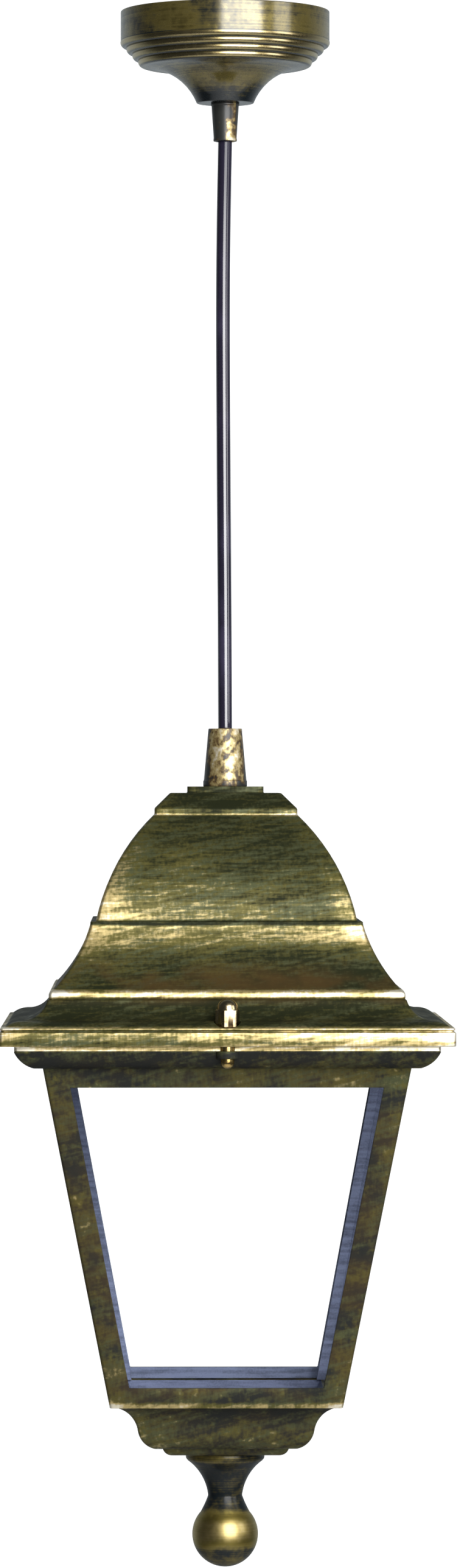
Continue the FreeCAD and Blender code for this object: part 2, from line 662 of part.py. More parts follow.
def lower_nipple():
    """The hollow threaded tube from the lower grip through the roof into the lampholder."""
    ends = at(0, 0, Z_LOWER_NIPPLE_FOOT), at(0, 0, Z_ROOF_TOP + THREAD_ENGAGEMENT)
    return rod(LOWER_NIPPLE_RADIUS, *ends).cut(rod(CORD_BORE, *ends))


def roof_washer():
    low, high = at(0, 0, Z_ROOF_NUT), at(0, 0, Z_ROOF_CEILING)
    return rod(ROOF_WASHER_RADIUS, low, high).cut(rod(LOWER_NIPPLE_RADIUS + FIT, low, high))


def roof_nut():
    bore = rod(LOWER_NIPPLE_RADIUS + FIT, at(0, 0, Z_HOLDER), at(0, 0, Z_ROOF_NUT))
    return hexagon(ROOF_NUT_FLATS, Z_HOLDER, ROOF_NUT_HEIGHT).cut(bore)


def holder_cap():
    """The lampholder's domed cap, screwed on the nipple."""
    thread = LOWER_NIPPLE_RADIUS + FIT
    z_neck = Z_HOLDER - HOLDER_NECK_HEIGHT / 2
    z_rim = Z_INSERT + HOLDER_RIM_HEIGHT
    return turned([
        (thread, Z_HOLDER), (HOLDER_NECK_RADIUS, Z_HOLDER), (HOLDER_NECK_RADIUS, z_neck),
        (HOLDER_CAP_RADIUS, z_rim, HOLDER_CAP_BULGE), (HOLDER_CAP_RADIUS, Z_INSERT),
        (HOLDER_CAP_RADIUS - HOLDER_WALL, Z_INSERT), (HOLDER_CAP_RADIUS - HOLDER_WALL, z_rim),
        (thread, Z_HOLDER - HOLDER_NECK_HEIGHT, -HOLDER_CAP_BULGE),
    ])


def holder_skirt():
    """The lampholder's skirt, with a shoulder that clamps the insert."""
    z_mouth = Z_INSERT - SKIRT_LENGTH
    sleeve = SLEEVE_BORE_RADIUS + SLEEVE_WALL + FIT
    return turned([
        (INSERT_RADIUS + FIT, Z_INSERT), (SKIRT_RADIUS, Z_INSERT), (SKIRT_RADIUS, Z_INSERT_FOOT),
        (SKIRT_MOUTH_RADIUS, z_mouth), (sleeve, z_mouth), (sleeve, Z_INSERT_FOOT),
        (INSERT_RADIUS + FIT, Z_INSERT_FOOT),
    ])


def holder_insert():
    """The ceramic disc between cap and skirt."""
    disc = rod(INSERT_RADIUS, at(0, 0, Z_INSERT_FOOT), at(0, 0, Z_INSERT))
    edge = [e for e in disc.Edges if abs(e.BoundBox.ZMax - Z_INSERT) < FIT and e.BoundBox.ZLength < FIT]
    return disc.makeChamfer(SLEEVE_WALL, edge)


def holder_thread_sleeve():
    """The screw shell that a lamp goes into."""
    low, high = at(0, 0, Z_SLEEVE - SLEEVE_LENGTH), at(0, 0, Z_SLEEVE)
    return rod(SLEEVE_BORE_RADIUS + SLEEVE_WALL, low, high).cut(rod(SLEEVE_BORE_RADIUS, low, high))


def holder_centre_contact():
    """The domed contact under the insert."""
    dome = CONTACT_HEIGHT / 2
    return turned([
        (0, Z_INSERT_FOOT), (CONTACT_RADIUS, Z_INSERT_FOOT), (CONTACT_RADIUS, Z_INSERT_FOOT - dome),
        (0, Z_INSERT_FOOT - CONTACT_HEIGHT, dome_bow(CONTACT_RADIUS, dome)),
    ])


def holder_terminal_screws():
    """The two screws on the insert that hold the leads."""
    heads = []
    for side in (-1, 1):
        foot = at(side * HOLDER_SCREW_OFFSET, 0, Z_INSERT)
        heads.append(rod(HOLDER_SCREW_RADIUS, foot, foot + UP * HOLDER_SCREW_HEIGHT))
    return Part.makeCompound(heads)


# Roof

def stud_places():
    """The studs stand at the front and the back."""
    return [(0, -STUD_OFFSET), (0, STUD_OFFSET)]


def roof():
    """One square moulding with a thin shell: boss, cap, dome, flare, bead, cove, cyma and eave."""
    outside = square([
        (0, Z_ROOF_TOP), (BOSS_HALF, Z_ROOF_TOP), (BOSS_HALF, Z_CAP_TOP), (CAP_TOP_HALF, Z_CAP_TOP),
        (CAP_HALF, Z_CAP_EDGE), (CAP_HALF, Z_DOME), (DOME_FOOT_HALF, Z_ROOF_LEDGE, DOME_BULGE),
        (LEDGE_HALF, Z_ROOF_LEDGE), (LEDGE_HALF, Z_FLARE), (FLARE_FOOT_HALF, Z_BEAD, -FLARE_SAG),
        (BEAD_HALF, Z_BEAD), (BEAD_HALF, Z_COVE), (COVE_HALF, Z_COVE), (COVE_FOOT_HALF, Z_CYMA, -COVE_SAG),
        (CYMA_FOOT_HALF, Z_FASCIA, CYMA_BULGE), (EAVE_HALF, Z_FASCIA), (EAVE_HALF, Z_EAVE),
        (LIP_HALF, Z_EAVE), (LIP_HALF, Z_BODY_TOP), (0, Z_BODY_TOP),
    ])
    inside = square([
        (0, Z_ROOF_CEILING), (CAP_TOP_HALF - ROOF_WALL / 2, Z_ROOF_CEILING),
        (CAP_HALF - ROOF_WALL, Z_CAP_EDGE - ROOF_WALL / 2), (CAP_HALF - ROOF_WALL, Z_DOME - ROOF_WALL / 2),
        (DOME_FOOT_HALF - ROOF_WALL, Z_ROOF_LEDGE - ROOF_WALL / 2, DOME_BULGE),
        (LEDGE_HALF - ROOF_WALL, Z_FLARE - ROOF_WALL / 2),
        (FLARE_FOOT_HALF - ROOF_WALL, Z_BEAD - ROOF_WALL / 2, -FLARE_SAG),
        (COVE_HALF - ROOF_WALL, Z_COVE - ROOF_WALL), (EAVE_RING_HALF, Z_CYMA - ROOF_WALL),
        (EAVE_RING_HALF, Z_BODY_TOP), (0, Z_BODY_TOP),
    ])
    cuts = [inside, rod(LOWER_NIPPLE_RADIUS + FIT, at(0, 0, Z_ROOF_CEILING), at(0, 0, Z_ROOF_TOP))]
    for x, y in stud_places():
        cuts.append(rod(STUD_RADIUS + STUD_HOLE_CLEARANCE, at(x, y, Z_BODY_TOP), at(x, y, Z_NUT_SEAT)))
        cuts.append(rod(NUT_SEAT_RADIUS, at(x, y, Z_NUT_SEAT), at(x, y, Z_BEAD)))
    return one_solid(outside.cut(cuts))


def acorn_nuts():
    """The two domed nuts on the eave."""
    hexed = hexagon(NUT_FLATS, Z_NUT_SEAT, NUT_HEX_HEIGHT)
    dome = Part.makeSphere(NUT_DOME_RADIUS, at(0, 0, Z_NUT_SEAT + NUT_HEX_HEIGHT), UP, 0, 90, 360)
    bore = rod(STUD_RADIUS + FIT, at(0, 0, Z_NUT_SEAT), at(0, 0, Z_NUT_SEAT + NUT_THREAD_DEPTH))
    nut = around(hexed.fuse(dome).cut(bore), NUT_TURN)
    return Part.makeCompound([moved(nut, x, y, 0) for x, y in stud_places()])


def roof_studs():
    """The two studs fixed in the body's lugs, with rounded ends that show under the eave."""
    z_round = Z_STUD_TIP + STUD_RADIUS
    shank = rod(STUD_RADIUS, at(0, 0, z_round), at(0, 0, Z_NUT_SEAT + NUT_THREAD_DEPTH))
    tip = Part.makeSphere(STUD_RADIUS, at(0, 0, z_round), DOWN, 0, 90, 360)
    stud = shank.fuse(tip)
    return Part.makeCompound([moved(stud, x, y, 0) for x, y in stud_places()])


# Lantern body

def frame_half(z):
    """The tapered frame's outer half width at a level."""
    share = (Z_FRAME_TOP - z) / FRAME_HEIGHT
    return FRAME_TOP_HALF + (FRAME_FOOT_HALF - FRAME_TOP_HALF) * share


def inner_half(z):
    """The inner half width of the frame's walls at a level."""
    return frame_half(z) - BODY_WALL


def window_cut():
    """The tapered opening through two opposite walls."""
    def half(z):
        return frame_half(z) - STILE_WIDTH
    corners = [(half(Z_WINDOW_TOP), Z_WINDOW_TOP), (half(Z_WINDOW_FOOT), Z_WINDOW_FOOT)]
    outline = corners + [(-x, z) for x, z in reversed(corners)]
    through = 4 * FRAME_TOP_HALF
    cut = section(outline).extrude(at(0, through, 0))
    cut.translate(at(0, -through / 2, 0))
    return cut


def corner_post():
    """A post in the inner corner, with a groove along each wall for the panes' edges."""
    def outline(z):
        corner = inner_half(z) + BODY_WALL / 2
        edge = inner_half(z) - PANE_EDGE_INSET + PANE_CLEARANCE
        lip = inner_half(z) - PANE_THICKNESS - 2 * PANE_CLEARANCE
        tip = inner_half(z) - POST_WIDTH
        return [(corner, corner), (edge, corner), (edge, lip), (tip, lip), (tip, tip), (lip, tip),
                (lip, edge), (corner, edge)]
    return frustum(outline, Z_LEDGE, Z_PANE_TOP)


def lantern_body():
    """One square moulding: ovolo crown, rails and tapered stiles round four windows, and a stepped base."""
    outside = square([
        (0, Z_BODY_TOP), (LIP_HALF, Z_BODY_TOP), (LIP_HALF, Z_BODY_TOP - CROWN_LIP),
        (CROWN_FOOT_HALF, Z_FRAME_TOP, CROWN_BULGE), (FRAME_TOP_HALF, Z_FRAME_TOP),
        (FRAME_FOOT_HALF, Z_FRAME_FOOT), (BASE_TOP_HALF, Z_FRAME_FOOT),
        (BASE_WAIST_HALF, Z_BASE_WAIST, -BASE_COVE_SAG), (BASE_OVOLO_HALF, Z_BASE_FOOT_TOP, BASE_OVOLO_BULGE),
        (BASE_FOOT_TOP_HALF, Z_BASE_FOOT_TOP), (BASE_FOOT_HALF, Z_BASE_FOOT, BASE_FOOT_BULGE),
        (0, Z_BASE_FOOT),
    ])
    inside = square([
        (0, Z_BODY_TOP), (inner_half(Z_BODY_TOP), Z_BODY_TOP), (inner_half(Z_LEDGE), Z_LEDGE),
        (inner_half(Z_LEDGE) - PANE_LEDGE_WIDTH, Z_LEDGE), (BASE_WAIST_HALF - BODY_WALL, Z_BASE_WAIST),
        (BASE_FOOT_TOP_HALF - BODY_WALL, Z_FLOOR), (0, Z_FLOOR),
    ])
    window = window_cut()
    lugs = [rod(STUD_LUG_RADIUS, at(x, y, Z_BODY_TOP - STUD_LUG_HEIGHT), at(x, y, Z_BODY_TOP))
            for x, y in stud_places()]
    bores = [rod(STUD_RADIUS + FIT, at(x, y, Z_FRAME_TOP), at(x, y, Z_BODY_TOP)) for x, y in stud_places()]
    bores.append(rod(FINIAL_SCREW_RADIUS + FIT, at(0, 0, Z_BASE_FOOT), at(0, 0, Z_FLOOR)))
    shell = outside.cut([inside, window, around(window, 90)])
    posts = [around(corner_post(), 90 * i) for i in range(4)]
    return one_solid(shell.fuse(lugs + posts).cut(bores))


def pane(angle):
    """A clear tapered pane, standing on the ledge inside one wall."""
    def outline(z):
        half = inner_half(z) - PANE_EDGE_INSET
        outer = -inner_half(z) + PANE_CLEARANCE
        inner = outer + PANE_THICKNESS
        return [(-half, outer), (half, outer), (half, inner), (-half, inner)]
    return around(frustum(outline, Z_LEDGE, Z_PANE_TOP), angle)


# Finial

def finial():
    """A turned collar, neck and ball, with a threaded hole in its top."""
    z_rim = Z_BASE_FOOT - FINIAL_RIM_HEIGHT
    z_neck = z_rim - FINIAL_NECK_DROP
    z_ball = z_neck - BALL_DROP
    z_ball_top = z_ball + math.sqrt(BALL_RADIUS ** 2 - BALL_TOP_RADIUS ** 2)
    hole = FINIAL_SCREW_RADIUS + FIT
    lower = section([
        (0, z_neck), (FINIAL_NECK_RADIUS, z_neck), (BALL_TOP_RADIUS, z_ball_top, -BALL_COVE_SAG),
        (0, z_ball_top),
    ]).revolve(CENTRE, UP, 360)
    upper = turned([
        (0, Z_BASE_FOOT), (FINIAL_RIM_RADIUS, Z_BASE_FOOT), (FINIAL_RIM_RADIUS, z_rim),
        (FINIAL_NECK_RADIUS, z_neck, -FINIAL_NECK_SAG), (0, z_neck),
    ])
    ball = Part.makeSphere(BALL_RADIUS, at(0, 0, z_ball))
    blank = upper.fuse([lower, ball])
    return one_solid(blank.cut(rod(hole, at(0, 0, Z_BASE_FOOT - FINIAL_SCREW_BITE), at(0, 0, Z_BASE_FOOT))))


def finial_screw():
    """The screw from inside the base down into the finial."""
    seat = at(0, 0, Z_FLOOR + FINIAL_WASHER_THICKNESS)
    shank = rod(FINIAL_SCREW_RADIUS, at(0, 0, Z_BASE_FOOT - FINIAL_SCREW_BITE), seat)
    head = rod(FINIAL_SCREW_HEAD_RADIUS, seat, seat + UP * FINIAL_SCREW_HEAD_HEIGHT)
    slot = Part.makeBox(2 * FINIAL_SCREW_HEAD_RADIUS, 2 * SCREW_SLOT_WIDTH, 2 * SCREW_SLOT_DEPTH,
                        at(-FINIAL_SCREW_HEAD_RADIUS, -SCREW_SLOT_WIDTH,
                           seat.z + FINIAL_SCREW_HEAD_HEIGHT - 2 * SCREW_SLOT_DEPTH))
    return one_solid(shank.fuse(head).cut(slot))


def finial_washer():
    low, high = at(0, 0, Z_FLOOR), at(0, 0, Z_FLOOR + FINIAL_WASHER_THICKNESS)
    return rod(FINIAL_WASHER_RADIUS, low, high).cut(rod(FINIAL_SCREW_RADIUS + FIT, low, high))


PIECES = {
    "canopy_cup": canopy_cup(),
    "ceiling_strap": ceiling_strap(),
    "strap_nuts": strap_nuts(),
    "upper_nipple": upper_nipple(),
    "upper_cord_grip": upper_cord_grip(),
    "upper_grip_screw": upper_grip_screw(),
    "upper_cord_end": upper_cord_end(),
    "upper_live_lead": upper_lead(1),
    "upper_neutral_lead": upper_lead(-1),
    "terminal_block": terminal_block(),
    "terminal_clamps": terminal_clamps(),
    "terminal_screws": terminal_screws(),
    "terminal_fixing_screw": terminal_fixing_screw(),
    "cord": cord(),
    "lower_cord_grip": lower_cord_grip(),
    "lower_grip_screw": lower_grip_screw(),
    "lower_cord_end": lower_cord_end(),
    "lower_live_lead": lower_lead(1),
    "lower_neutral_lead": lower_lead(-1),
    "lower_nipple": lower_nipple(),
    "roof_washer": roof_washer(),
    "roof_nut": roof_nut(),
    "holder_cap": holder_cap(),
    "holder_skirt": holder_skirt(),
    "holder_insert": holder_insert(),
    "holder_thread_sleeve": holder_thread_sleeve(),
    "holder_centre_contact": holder_centre_contact(),
    "holder_terminal_screws": holder_terminal_screws(),
    "roof": roof(),
    "acorn_nuts": acorn_nuts(),
    "roof_studs": roof_studs(),
    "lantern_body": lantern_body(),
    "front_pane": pane(0),
    "right_pane": pane(90),
    "back_pane": pane(180),
    "left_pane": pane(270),
    "finial": finial(),
    "finial_screw": finial_screw(),
    "finial_washer": finial_washer(),
}

os.makedirs("parts", exist_ok=True)
for name, shape in PIECES.items():
    shape.exportStep(f"parts/{name}.step")
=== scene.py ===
"""Dresses a four-sided outdoor hanging lamp: ceiling cup, cord, domed roof, windowed body and ball finial."""
import math

import bmesh
import bpy
from bpy.props import FloatProperty, FloatVectorProperty, IntProperty, PointerProperty
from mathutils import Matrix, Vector


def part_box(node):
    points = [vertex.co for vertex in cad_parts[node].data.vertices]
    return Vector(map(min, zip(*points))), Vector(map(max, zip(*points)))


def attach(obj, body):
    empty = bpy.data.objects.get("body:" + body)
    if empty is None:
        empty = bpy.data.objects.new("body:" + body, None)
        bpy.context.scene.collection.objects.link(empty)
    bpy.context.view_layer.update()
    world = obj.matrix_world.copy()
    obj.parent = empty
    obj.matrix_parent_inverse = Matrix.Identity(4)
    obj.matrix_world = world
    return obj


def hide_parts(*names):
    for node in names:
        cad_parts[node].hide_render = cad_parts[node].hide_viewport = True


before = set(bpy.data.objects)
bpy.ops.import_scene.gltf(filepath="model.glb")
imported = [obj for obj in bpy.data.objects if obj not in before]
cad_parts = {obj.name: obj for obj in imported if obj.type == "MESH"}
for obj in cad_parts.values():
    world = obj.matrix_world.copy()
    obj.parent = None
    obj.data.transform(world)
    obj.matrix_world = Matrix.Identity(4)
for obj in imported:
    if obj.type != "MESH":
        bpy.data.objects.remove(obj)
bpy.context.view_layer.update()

bl_info = {
    "name": "Outdoor Hanging Lamp",
    "version": (1, 0, 0),
    "blender": (4, 5, 0),
    "location": "View3D > Sidebar > Lamp",
    "description": "Builds the dressed pieces of a four-sided hanging lantern around its solid model",
    "category": "Object",
}

MM = 0.001

# Sizes in millimetres. A drop is measured down from the piece's top
CUP_RADIUS = 39.0
CUP_RIM = 11.0
RIB_RUN = 2.2
RIB_RISE = 2.4
RIB_BULGE = 1.0
RIB_COUNT = 4
SCREW_CLEARANCE = 0.05
SCREW_HOLE_REACH = 12.0
ROOF_HOLE = 5.05
STUD_OFFSET = 76.5
STUD_RADIUS = 2.5
STUD_HOLE = 2.7
STUD_CLEARANCE = 0.1
NUT_SEAT_RADIUS = 4.9
NUT_SEAT_REACH = 20.0
NUT_FLATS = 8.0
NUT_HEX_HEIGHT = 6.6
NUT_DOME = 3.9
NUT_FOOT_INSET = 0.1
NUT_TURN = math.radians(-16.0)
LUG_RADIUS = 4.2
LUG_HEIGHT = 2.8
FRAME_TOP = 67.0
FRAME_TOP_DROP = 6.6
FRAME_FOOT = 42.8
FRAME_FOOT_DROP = 132.5
WINDOW_TOP_DROP = 13.8
WINDOW_FOOT_DROP = 125.0
STILE = 8.6
BODY_WALL = 2.3
LEDGE_DROP = 129.2
LEDGE_WIDTH = 4.2
FLOOR_HALF = 36.5
FLOOR_HOLE = 3.05
POST_TOP_DROP = 8.8
POST_WIDTH = 6.0
POST_EDGE = 4.2
POST_LIP = 2.8
POST_SINK = 0.2
FINIAL_BALL_RADIUS = 12.3
FINIAL_BALL_DROP = 31.3
FINIAL_BALL_STEPS = 25
FINIAL_HOLE_DEPTH = 11.0
FINIAL_TIP = 0.02
FLUTE_DEPTH = 0.5
FLUTE_FOOT = 3.0
FLUTE_TOP_DROP = 7.0
FLUTE_CORE = 16.0
SLEEVE_WALL = 0.35
SLEEVE_ROWS = 72
SLEEVE_FADE_ROWS = 6

# Outlines in millimetres: distance from the axis, drop below the node's top, and, on some points, how far
# the line that leads there bows to the left of its way
CUP_RIBS = [(CUP_RADIUS - i * RIB_RUN, CUP_RIM + i * RIB_RISE, RIB_BULGE) for i in range(1, RIB_COUNT + 1)]
CUP_OUTLINE = (
    [(37.8, 0), (CUP_RADIUS, 0), (CUP_RADIUS, CUP_RIM)] + CUP_RIBS
    + [(10.6, 34.2, -3.6), (4.05, 34.2), (4.05, 33.0), (9.4, 33.0), (29.6, 19.4, 3.6), (37.8, 10.4)]
)
UPPER_GRIP_OUTLINE = [
    (4.05, 0), (5.3, 0), (5.3, 0.8), (5.1, 1.0), (4.3, 13.0), (4.4, 13.4), (4.4, 14.2), (3.6, 14.2),
    (2.95, 13.0), (2.95, 6.0), (4.05, 6.0),
]
LOWER_GRIP_OUTLINE = [
    (3.6, 0), (6.25, 0), (7.95, 19.2), (8.2, 19.6), (8.2, 21.6), (5.05, 21.6), (5.05, 15.6), (2.95, 15.6),
    (2.95, 1.2),
]
ROOF_OUTSIDE = [
    (14.1, 0), (14.1, 2.4), (20.5, 2.4), (26.4, 8.2), (26.4, 10.4), (47.9, 49.4, 3.4), (49.9, 49.4),
    (49.9, 50.3), (63.2, 73.9, -1.6), (63.9, 73.9), (64.9, 76.2, 0.3), (64.6, 77.5, 0.1), (65.3, 77.5),
    (75.0, 84.9, -2.1), (80.8, 87.1, 0.5), (82.2, 87.1), (82.2, 88.0), (81.6, 88.1), (81.6, 88.6),
    (82.5, 88.7), (82.5, 93.9), (77.2, 93.9), (77.2, 95.6),
]
ROOF_INSIDE = [
    (70.5, 95.6), (70.5, 87.5), (62.7, 80.1), (60.6, 75.2), (47.3, 51.6, 1.6), (45.3, 50.7),
    (23.8, 11.7, -3.4), (23.8, 9.5), (19.2, 5.0),
]
CROWN_OUTLINE = [(77.2, 0), (77.2, 0.6), (70.4, FRAME_TOP_DROP, 0.95)]
BASE_OUTLINE = [
    (40.7, FRAME_FOOT_DROP), (32.5, 142.1, -1.9), (26.7, 149.0, 1.2), (23.4, 149.0), (20.7, 152.0, 0.6),
]
BASE_INSIDE = [(30.2, 142.1), (21.1, 149.0)]
FINIAL_OUTLINE = [
    (3.05, 0), (14.0, 0), (14.7, 0.8), (14.7, 3.0), (14.0, 3.8), (6.35, 16.9, -1.6), (9.2, 23.14, -0.15),
]
HOLDER_CAP_OUTLINE = [
    (5.05, 0), (8.0, 0), (8.0, 3.5), (19.0, 16.0, 2.2), (19.0, 20.0), (16.6, 20.0), (16.6, 16.0),
    (5.05, 7.0, -2.2),
]
HOLDER_SKIRT_OUTLINE = [
    (17.55, 0), (20.0, 0), (20.0, 8.0), (19.4, 9.0), (18.6, 33.0), (18.0, 34.0), (13.95, 34.0), (13.95, 8.0),
    (17.55, 8.0),
]

# The cord's route, in metres
CORD_ROUTE = [
    (0.0, 0.0, -0.0484), (-0.00055, 0.0, -0.0744), (-0.00085, 0.0, -0.1084), (-0.0007, 0.0, -0.1484),
    (-0.00045, 0.0, -0.1884), (-0.00015, 0.0, -0.2284), (0.0, 0.0, -0.2676),
]

# Paint by height: drop below the piece's top in millimetres, and the share there. Gilt is gold, cast is brown
# and painted shade under the roof's bead, gloss is sheen, and side gold, above or below a half, is gold that
# grows to the right or to the left and is partly painted light
RIB_GILT = [(0.05, 0.0), (0.4, 0.95), (1.5, 0.95), (2.15, 0.05)]
CUP_GILT = (
    [(0, 0.25), (10.7, 0.3)]
    + [(CUP_RIM + i * RIB_RISE + drop, level) for i in range(RIB_COUNT) for drop, level in RIB_GILT]
    + [(20.8, 0.2), (26, 0.3), (30, 0.1), (34.2, 0.0)]
)
UPPER_GRIP_GILT = [(0, 0.0), (5, 0.2), (9, 0.6), (14.2, 0.6)]
LOWER_GRIP_GILT = [(0, 0.55), (18, 0.6), (20, 0.5), (21.6, 0.2)]
CORD_GLOSS = [(0, 0.15), (15, 0.25), (33, 0.5), (61, 0.75), (90, 0.85), (220, 0.85)]
ROOF_GILT = [
    (0, 0.0), (7.6, 0.05), (8.6, 0.3), (9.9, 0.3), (10.2, 0.9), (10.7, 0.9), (10.9, 0.1), (26, 0.2),
    (38, 0.35), (48.6, 0.5), (49.4, 0.0), (50.4, 0.0), (51.0, 0.62), (57, 0.55), (61, 0.2), (72.5, 0.06),
    (73.7, 0.1), (74.0, 1.0), (76.3, 1.0), (76.9, 0.5), (77.4, 0.1), (77.6, 0.0), (86.4, 0.05), (87.0, 0.8),
    (88.0, 0.9), (88.2, 0.1), (88.7, 0.95), (90.6, 0.85), (92.4, 0.55), (93.3, 0.6), (93.9, 1.0), (95.6, 1.0),
]
# The roof's side gold is partly painted light: on the fascia it grows to the right as a painted highlight
ROOF_SIDE_GOLD_AND_LIGHT = [
    (0, 0.5), (14, 0.5), (24, 0.4), (49, 0.35), (49.6, 0.5), (56, 0.5), (60, 0.44), (72, 0.38), (74, 0.5),
    (87, 0.5), (88.5, 0.68), (93.9, 0.68), (95.6, 0.5),
]
# Brown on the flare's foot; under the bead, at drops 76 to 80, the brown is painted shade
ROOF_BROWN_AND_SHADE = [(0, 0.0), (62, 0.0), (70, 0.9), (73.9, 0.8), (74.2, 0.1), (76.4, 0.9), (77.6, 0.5), (80, 0.0)]
BODY_GILT = [
    (0, 0.3), (0.7, 0.0), (6.2, 0.0), (6.8, 0.2), (13.8, 0.2), (20, 0.05), (40, 0.0), (90, 0.0), (118, 0.15),
    (130, 0.12), (131.2, 0.7), (132.6, 0.8), (133.0, 0.0), (139, 0.05), (143, 0.15), (148.5, 0.1),
    (149.4, 0.05), (152, 0.1),
]
# The body's side gold grows to the right on the top rail, partly painted light
BODY_SIDE_GOLD_AND_LIGHT = [(0, 0.5), (7, 0.56), (13, 0.56), (14, 0.5), (152, 0.5)]
BODY_CAST = [(0, 0.0), (12, 0.3), (60, 0.4), (125, 0.5), (132, 0.2), (152, 0.1)]
# Round the ball, the gold band at drops 27 to 32 is a painted highlight, with darker paint above and below it
FINIAL_GILT_AND_HIGHLIGHT = [
    (0, 0.2), (3.4, 0.2), (4.2, 0.1), (16, 0.05), (21, 0.0), (27, 0.68), (32, 0.68), (37, 0.1), (43.6, 0.15),
]

# Place of the lamp in the photograph: pixels, and the metres that one pixel spans at the axis
PHOTO_WIDTH = 756
PHOTO_HEIGHT = 2576
AXIS_PIXEL = 370
CEILING_PIXEL = 19.5
PIXEL = 0.00022727

# Lights, in metres, and the glow of the room
LIGHT_AIM = Vector((0.0, 0.0, -0.3))
KEY_SPOT = Vector((0.85, -2.6, 0.42))
KEY_SIZE = (2.2, 2.4)
SIDE_SPOT = Vector((1.83, -0.81, 0.2))
SIDE_SIZE = (0.7, 1.2)
ROOM_TINT = (0.9, 0.97, 1.0)
BACK_TINT = (0.86, 0.95, 1.0)
WHITE = (1.0, 1.0, 1.0)
WHITE_GLOW = 1.3

# Limits of the mesh work: lengths in metres
SAME_POINT = 1e-7
SAME_LEVEL = 1e-5
ROOF_SKIN = 0.0004
BODY_SKIN = 0.0003
NEARLY_STRAIGHT = math.radians(155)
SOFTENED_ANGLE = math.radians(32)
ROUNDING_SHARE = 0.42


class LampSizes(bpy.types.PropertyGroup):
    """Sizes of the dressed pieces that the solid model leaves open."""
    hip: FloatProperty(name="Hip rounding", description="Radius of the roof's and body's corner edges",
                       default=0.0012, unit="LENGTH", subtype="DISTANCE")
    edge: FloatProperty(name="Edge rounding", description="Rounding of the mouldings' other edges",
                        default=0.0005, unit="LENGTH", subtype="DISTANCE")
    cord: FloatProperty(name="Cord diameter", description="Outer diameter of the round flex",
                        default=0.0052, unit="LENGTH", subtype="DISTANCE")
    thread_pitch: FloatProperty(name="Thread pitch", description="Pitch of the rolled lamp thread",
                                default=0.00363, unit="LENGTH", subtype="DISTANCE")
    thread_depth: FloatProperty(name="Thread depth", description="Depth of the rolled lamp thread",
                                default=0.0005, unit="LENGTH", subtype="DISTANCE")
    flutes: IntProperty(name="Skirt flutes", description="Grip flutes round the lampholder's skirt",
                        default=36)


class LampColours(bpy.types.PropertyGroup):
    """Paints and bare materials."""
    patina: FloatVectorProperty(name="Patina", description="Dark ground under the brushed gold",
                                default=(0.02, 0.023, 0.01), size=3, subtype="COLOR")
    soot: FloatVectorProperty(name="Soot", description="Dark ground of the body",
                              default=(0.024, 0.025, 0.023), size=3, subtype="COLOR")
    olive: FloatVectorProperty(name="Olive bronze", description="Thin brushed gold over the dark ground",
                               default=(0.125, 0.112, 0.033), size=3, subtype="COLOR")
    tarnish: FloatVectorProperty(name="Tarnish", description="Cool grey-green streaks in the thin gold",
                                 default=(0.088, 0.095, 0.044), size=3, subtype="COLOR")
    gold: FloatVectorProperty(name="Gold", description="Full brushed gold",
                              default=(0.55, 0.43, 0.19), size=3, subtype="COLOR")
    pale_gold: FloatVectorProperty(name="Pale gold", description="Rubbed edges and high spots",
                                   default=(0.9, 0.83, 0.66), size=3, subtype="COLOR")
    # Russet also paints the shade under the roof's bead
    russet: FloatVectorProperty(name="Russet", description="Brown cast on parts of the roof and body",
                                default=(0.085, 0.05, 0.017), size=3, subtype="COLOR")
    slate: FloatVectorProperty(name="Slate", description="Unpainted inside of the mouldings",
                               default=(0.18, 0.21, 0.33), size=3, subtype="COLOR")
    lacquer: FloatVectorProperty(name="Lacquer", description="Dark ground of cup and finial",
                                 default=(0.007, 0.01, 0.012), size=3, subtype="COLOR")
    bronze: FloatVectorProperty(name="Bronze lacquer", description="Glossy lacquer on cup and finial",
                                default=(0.3, 0.235, 0.06), size=3, subtype="COLOR")
    flex: FloatVectorProperty(name="Flex", description="Sheath of the cord",
                              default=(0.02, 0.017, 0.034), size=3, subtype="COLOR")


class LampStage(bpy.types.PropertyGroup):
    """Camera and light."""
    distance: FloatProperty(name="Camera distance", description="From the lamp's axis to the camera",
                            default=2.386, unit="LENGTH", subtype="DISTANCE")
    yaw: FloatProperty(name="Camera yaw", description="How far the camera stands round to the left",
                       default=math.radians(0.7), unit="ROTATION", subtype="ANGLE")
    floor_drop: FloatProperty(name="Floor drop", description="From the ceiling down to the floor",
                              default=2.2, unit="LENGTH", subtype="DISTANCE")
    floor_reach: FloatProperty(name="Floor reach", description="Radius of the floor",
                               default=2.3, unit="LENGTH", subtype="DISTANCE")
    room: FloatProperty(name="Room", description="Glow of the dim room before the lamp", default=0.035)
    back: FloatProperty(name="Back wall", description="Glow of the wall behind the lamp", default=0.45)
    key: FloatProperty(name="Key light", description="Power of the large soft light in front",
                       default=125.0, unit="POWER")
    side: FloatProperty(name="Side light", description="Power of the narrow soft light at the right",
                        default=7.5, unit="POWER")


# Meshes

def box_top(node):
    """The height of a node's top."""
    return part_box(node)[1][2]


def bowed(a, b, bow, steps=10):
    """Points after a on the round line to b that bows to the left of its way."""
    chord = b - a
    left = Vector((-chord.y, chord.x)).normalized()
    radius = (chord.length_squared / 4 + bow * bow) / (2 * bow)
    centre = (a + b) / 2 + left * (bow - radius)
    start, end = a - centre, b - centre
    turn = math.atan2(start.x * end.y - start.y * end.x, start.dot(end))
    points = []
    for i in range(1, steps + 1):
        angle = turn * i / steps
        c, s = math.cos(angle), math.sin(angle)
        points.append(centre + Vector((start.x * c - start.y * s, start.x * s + start.y * c)))
    return points


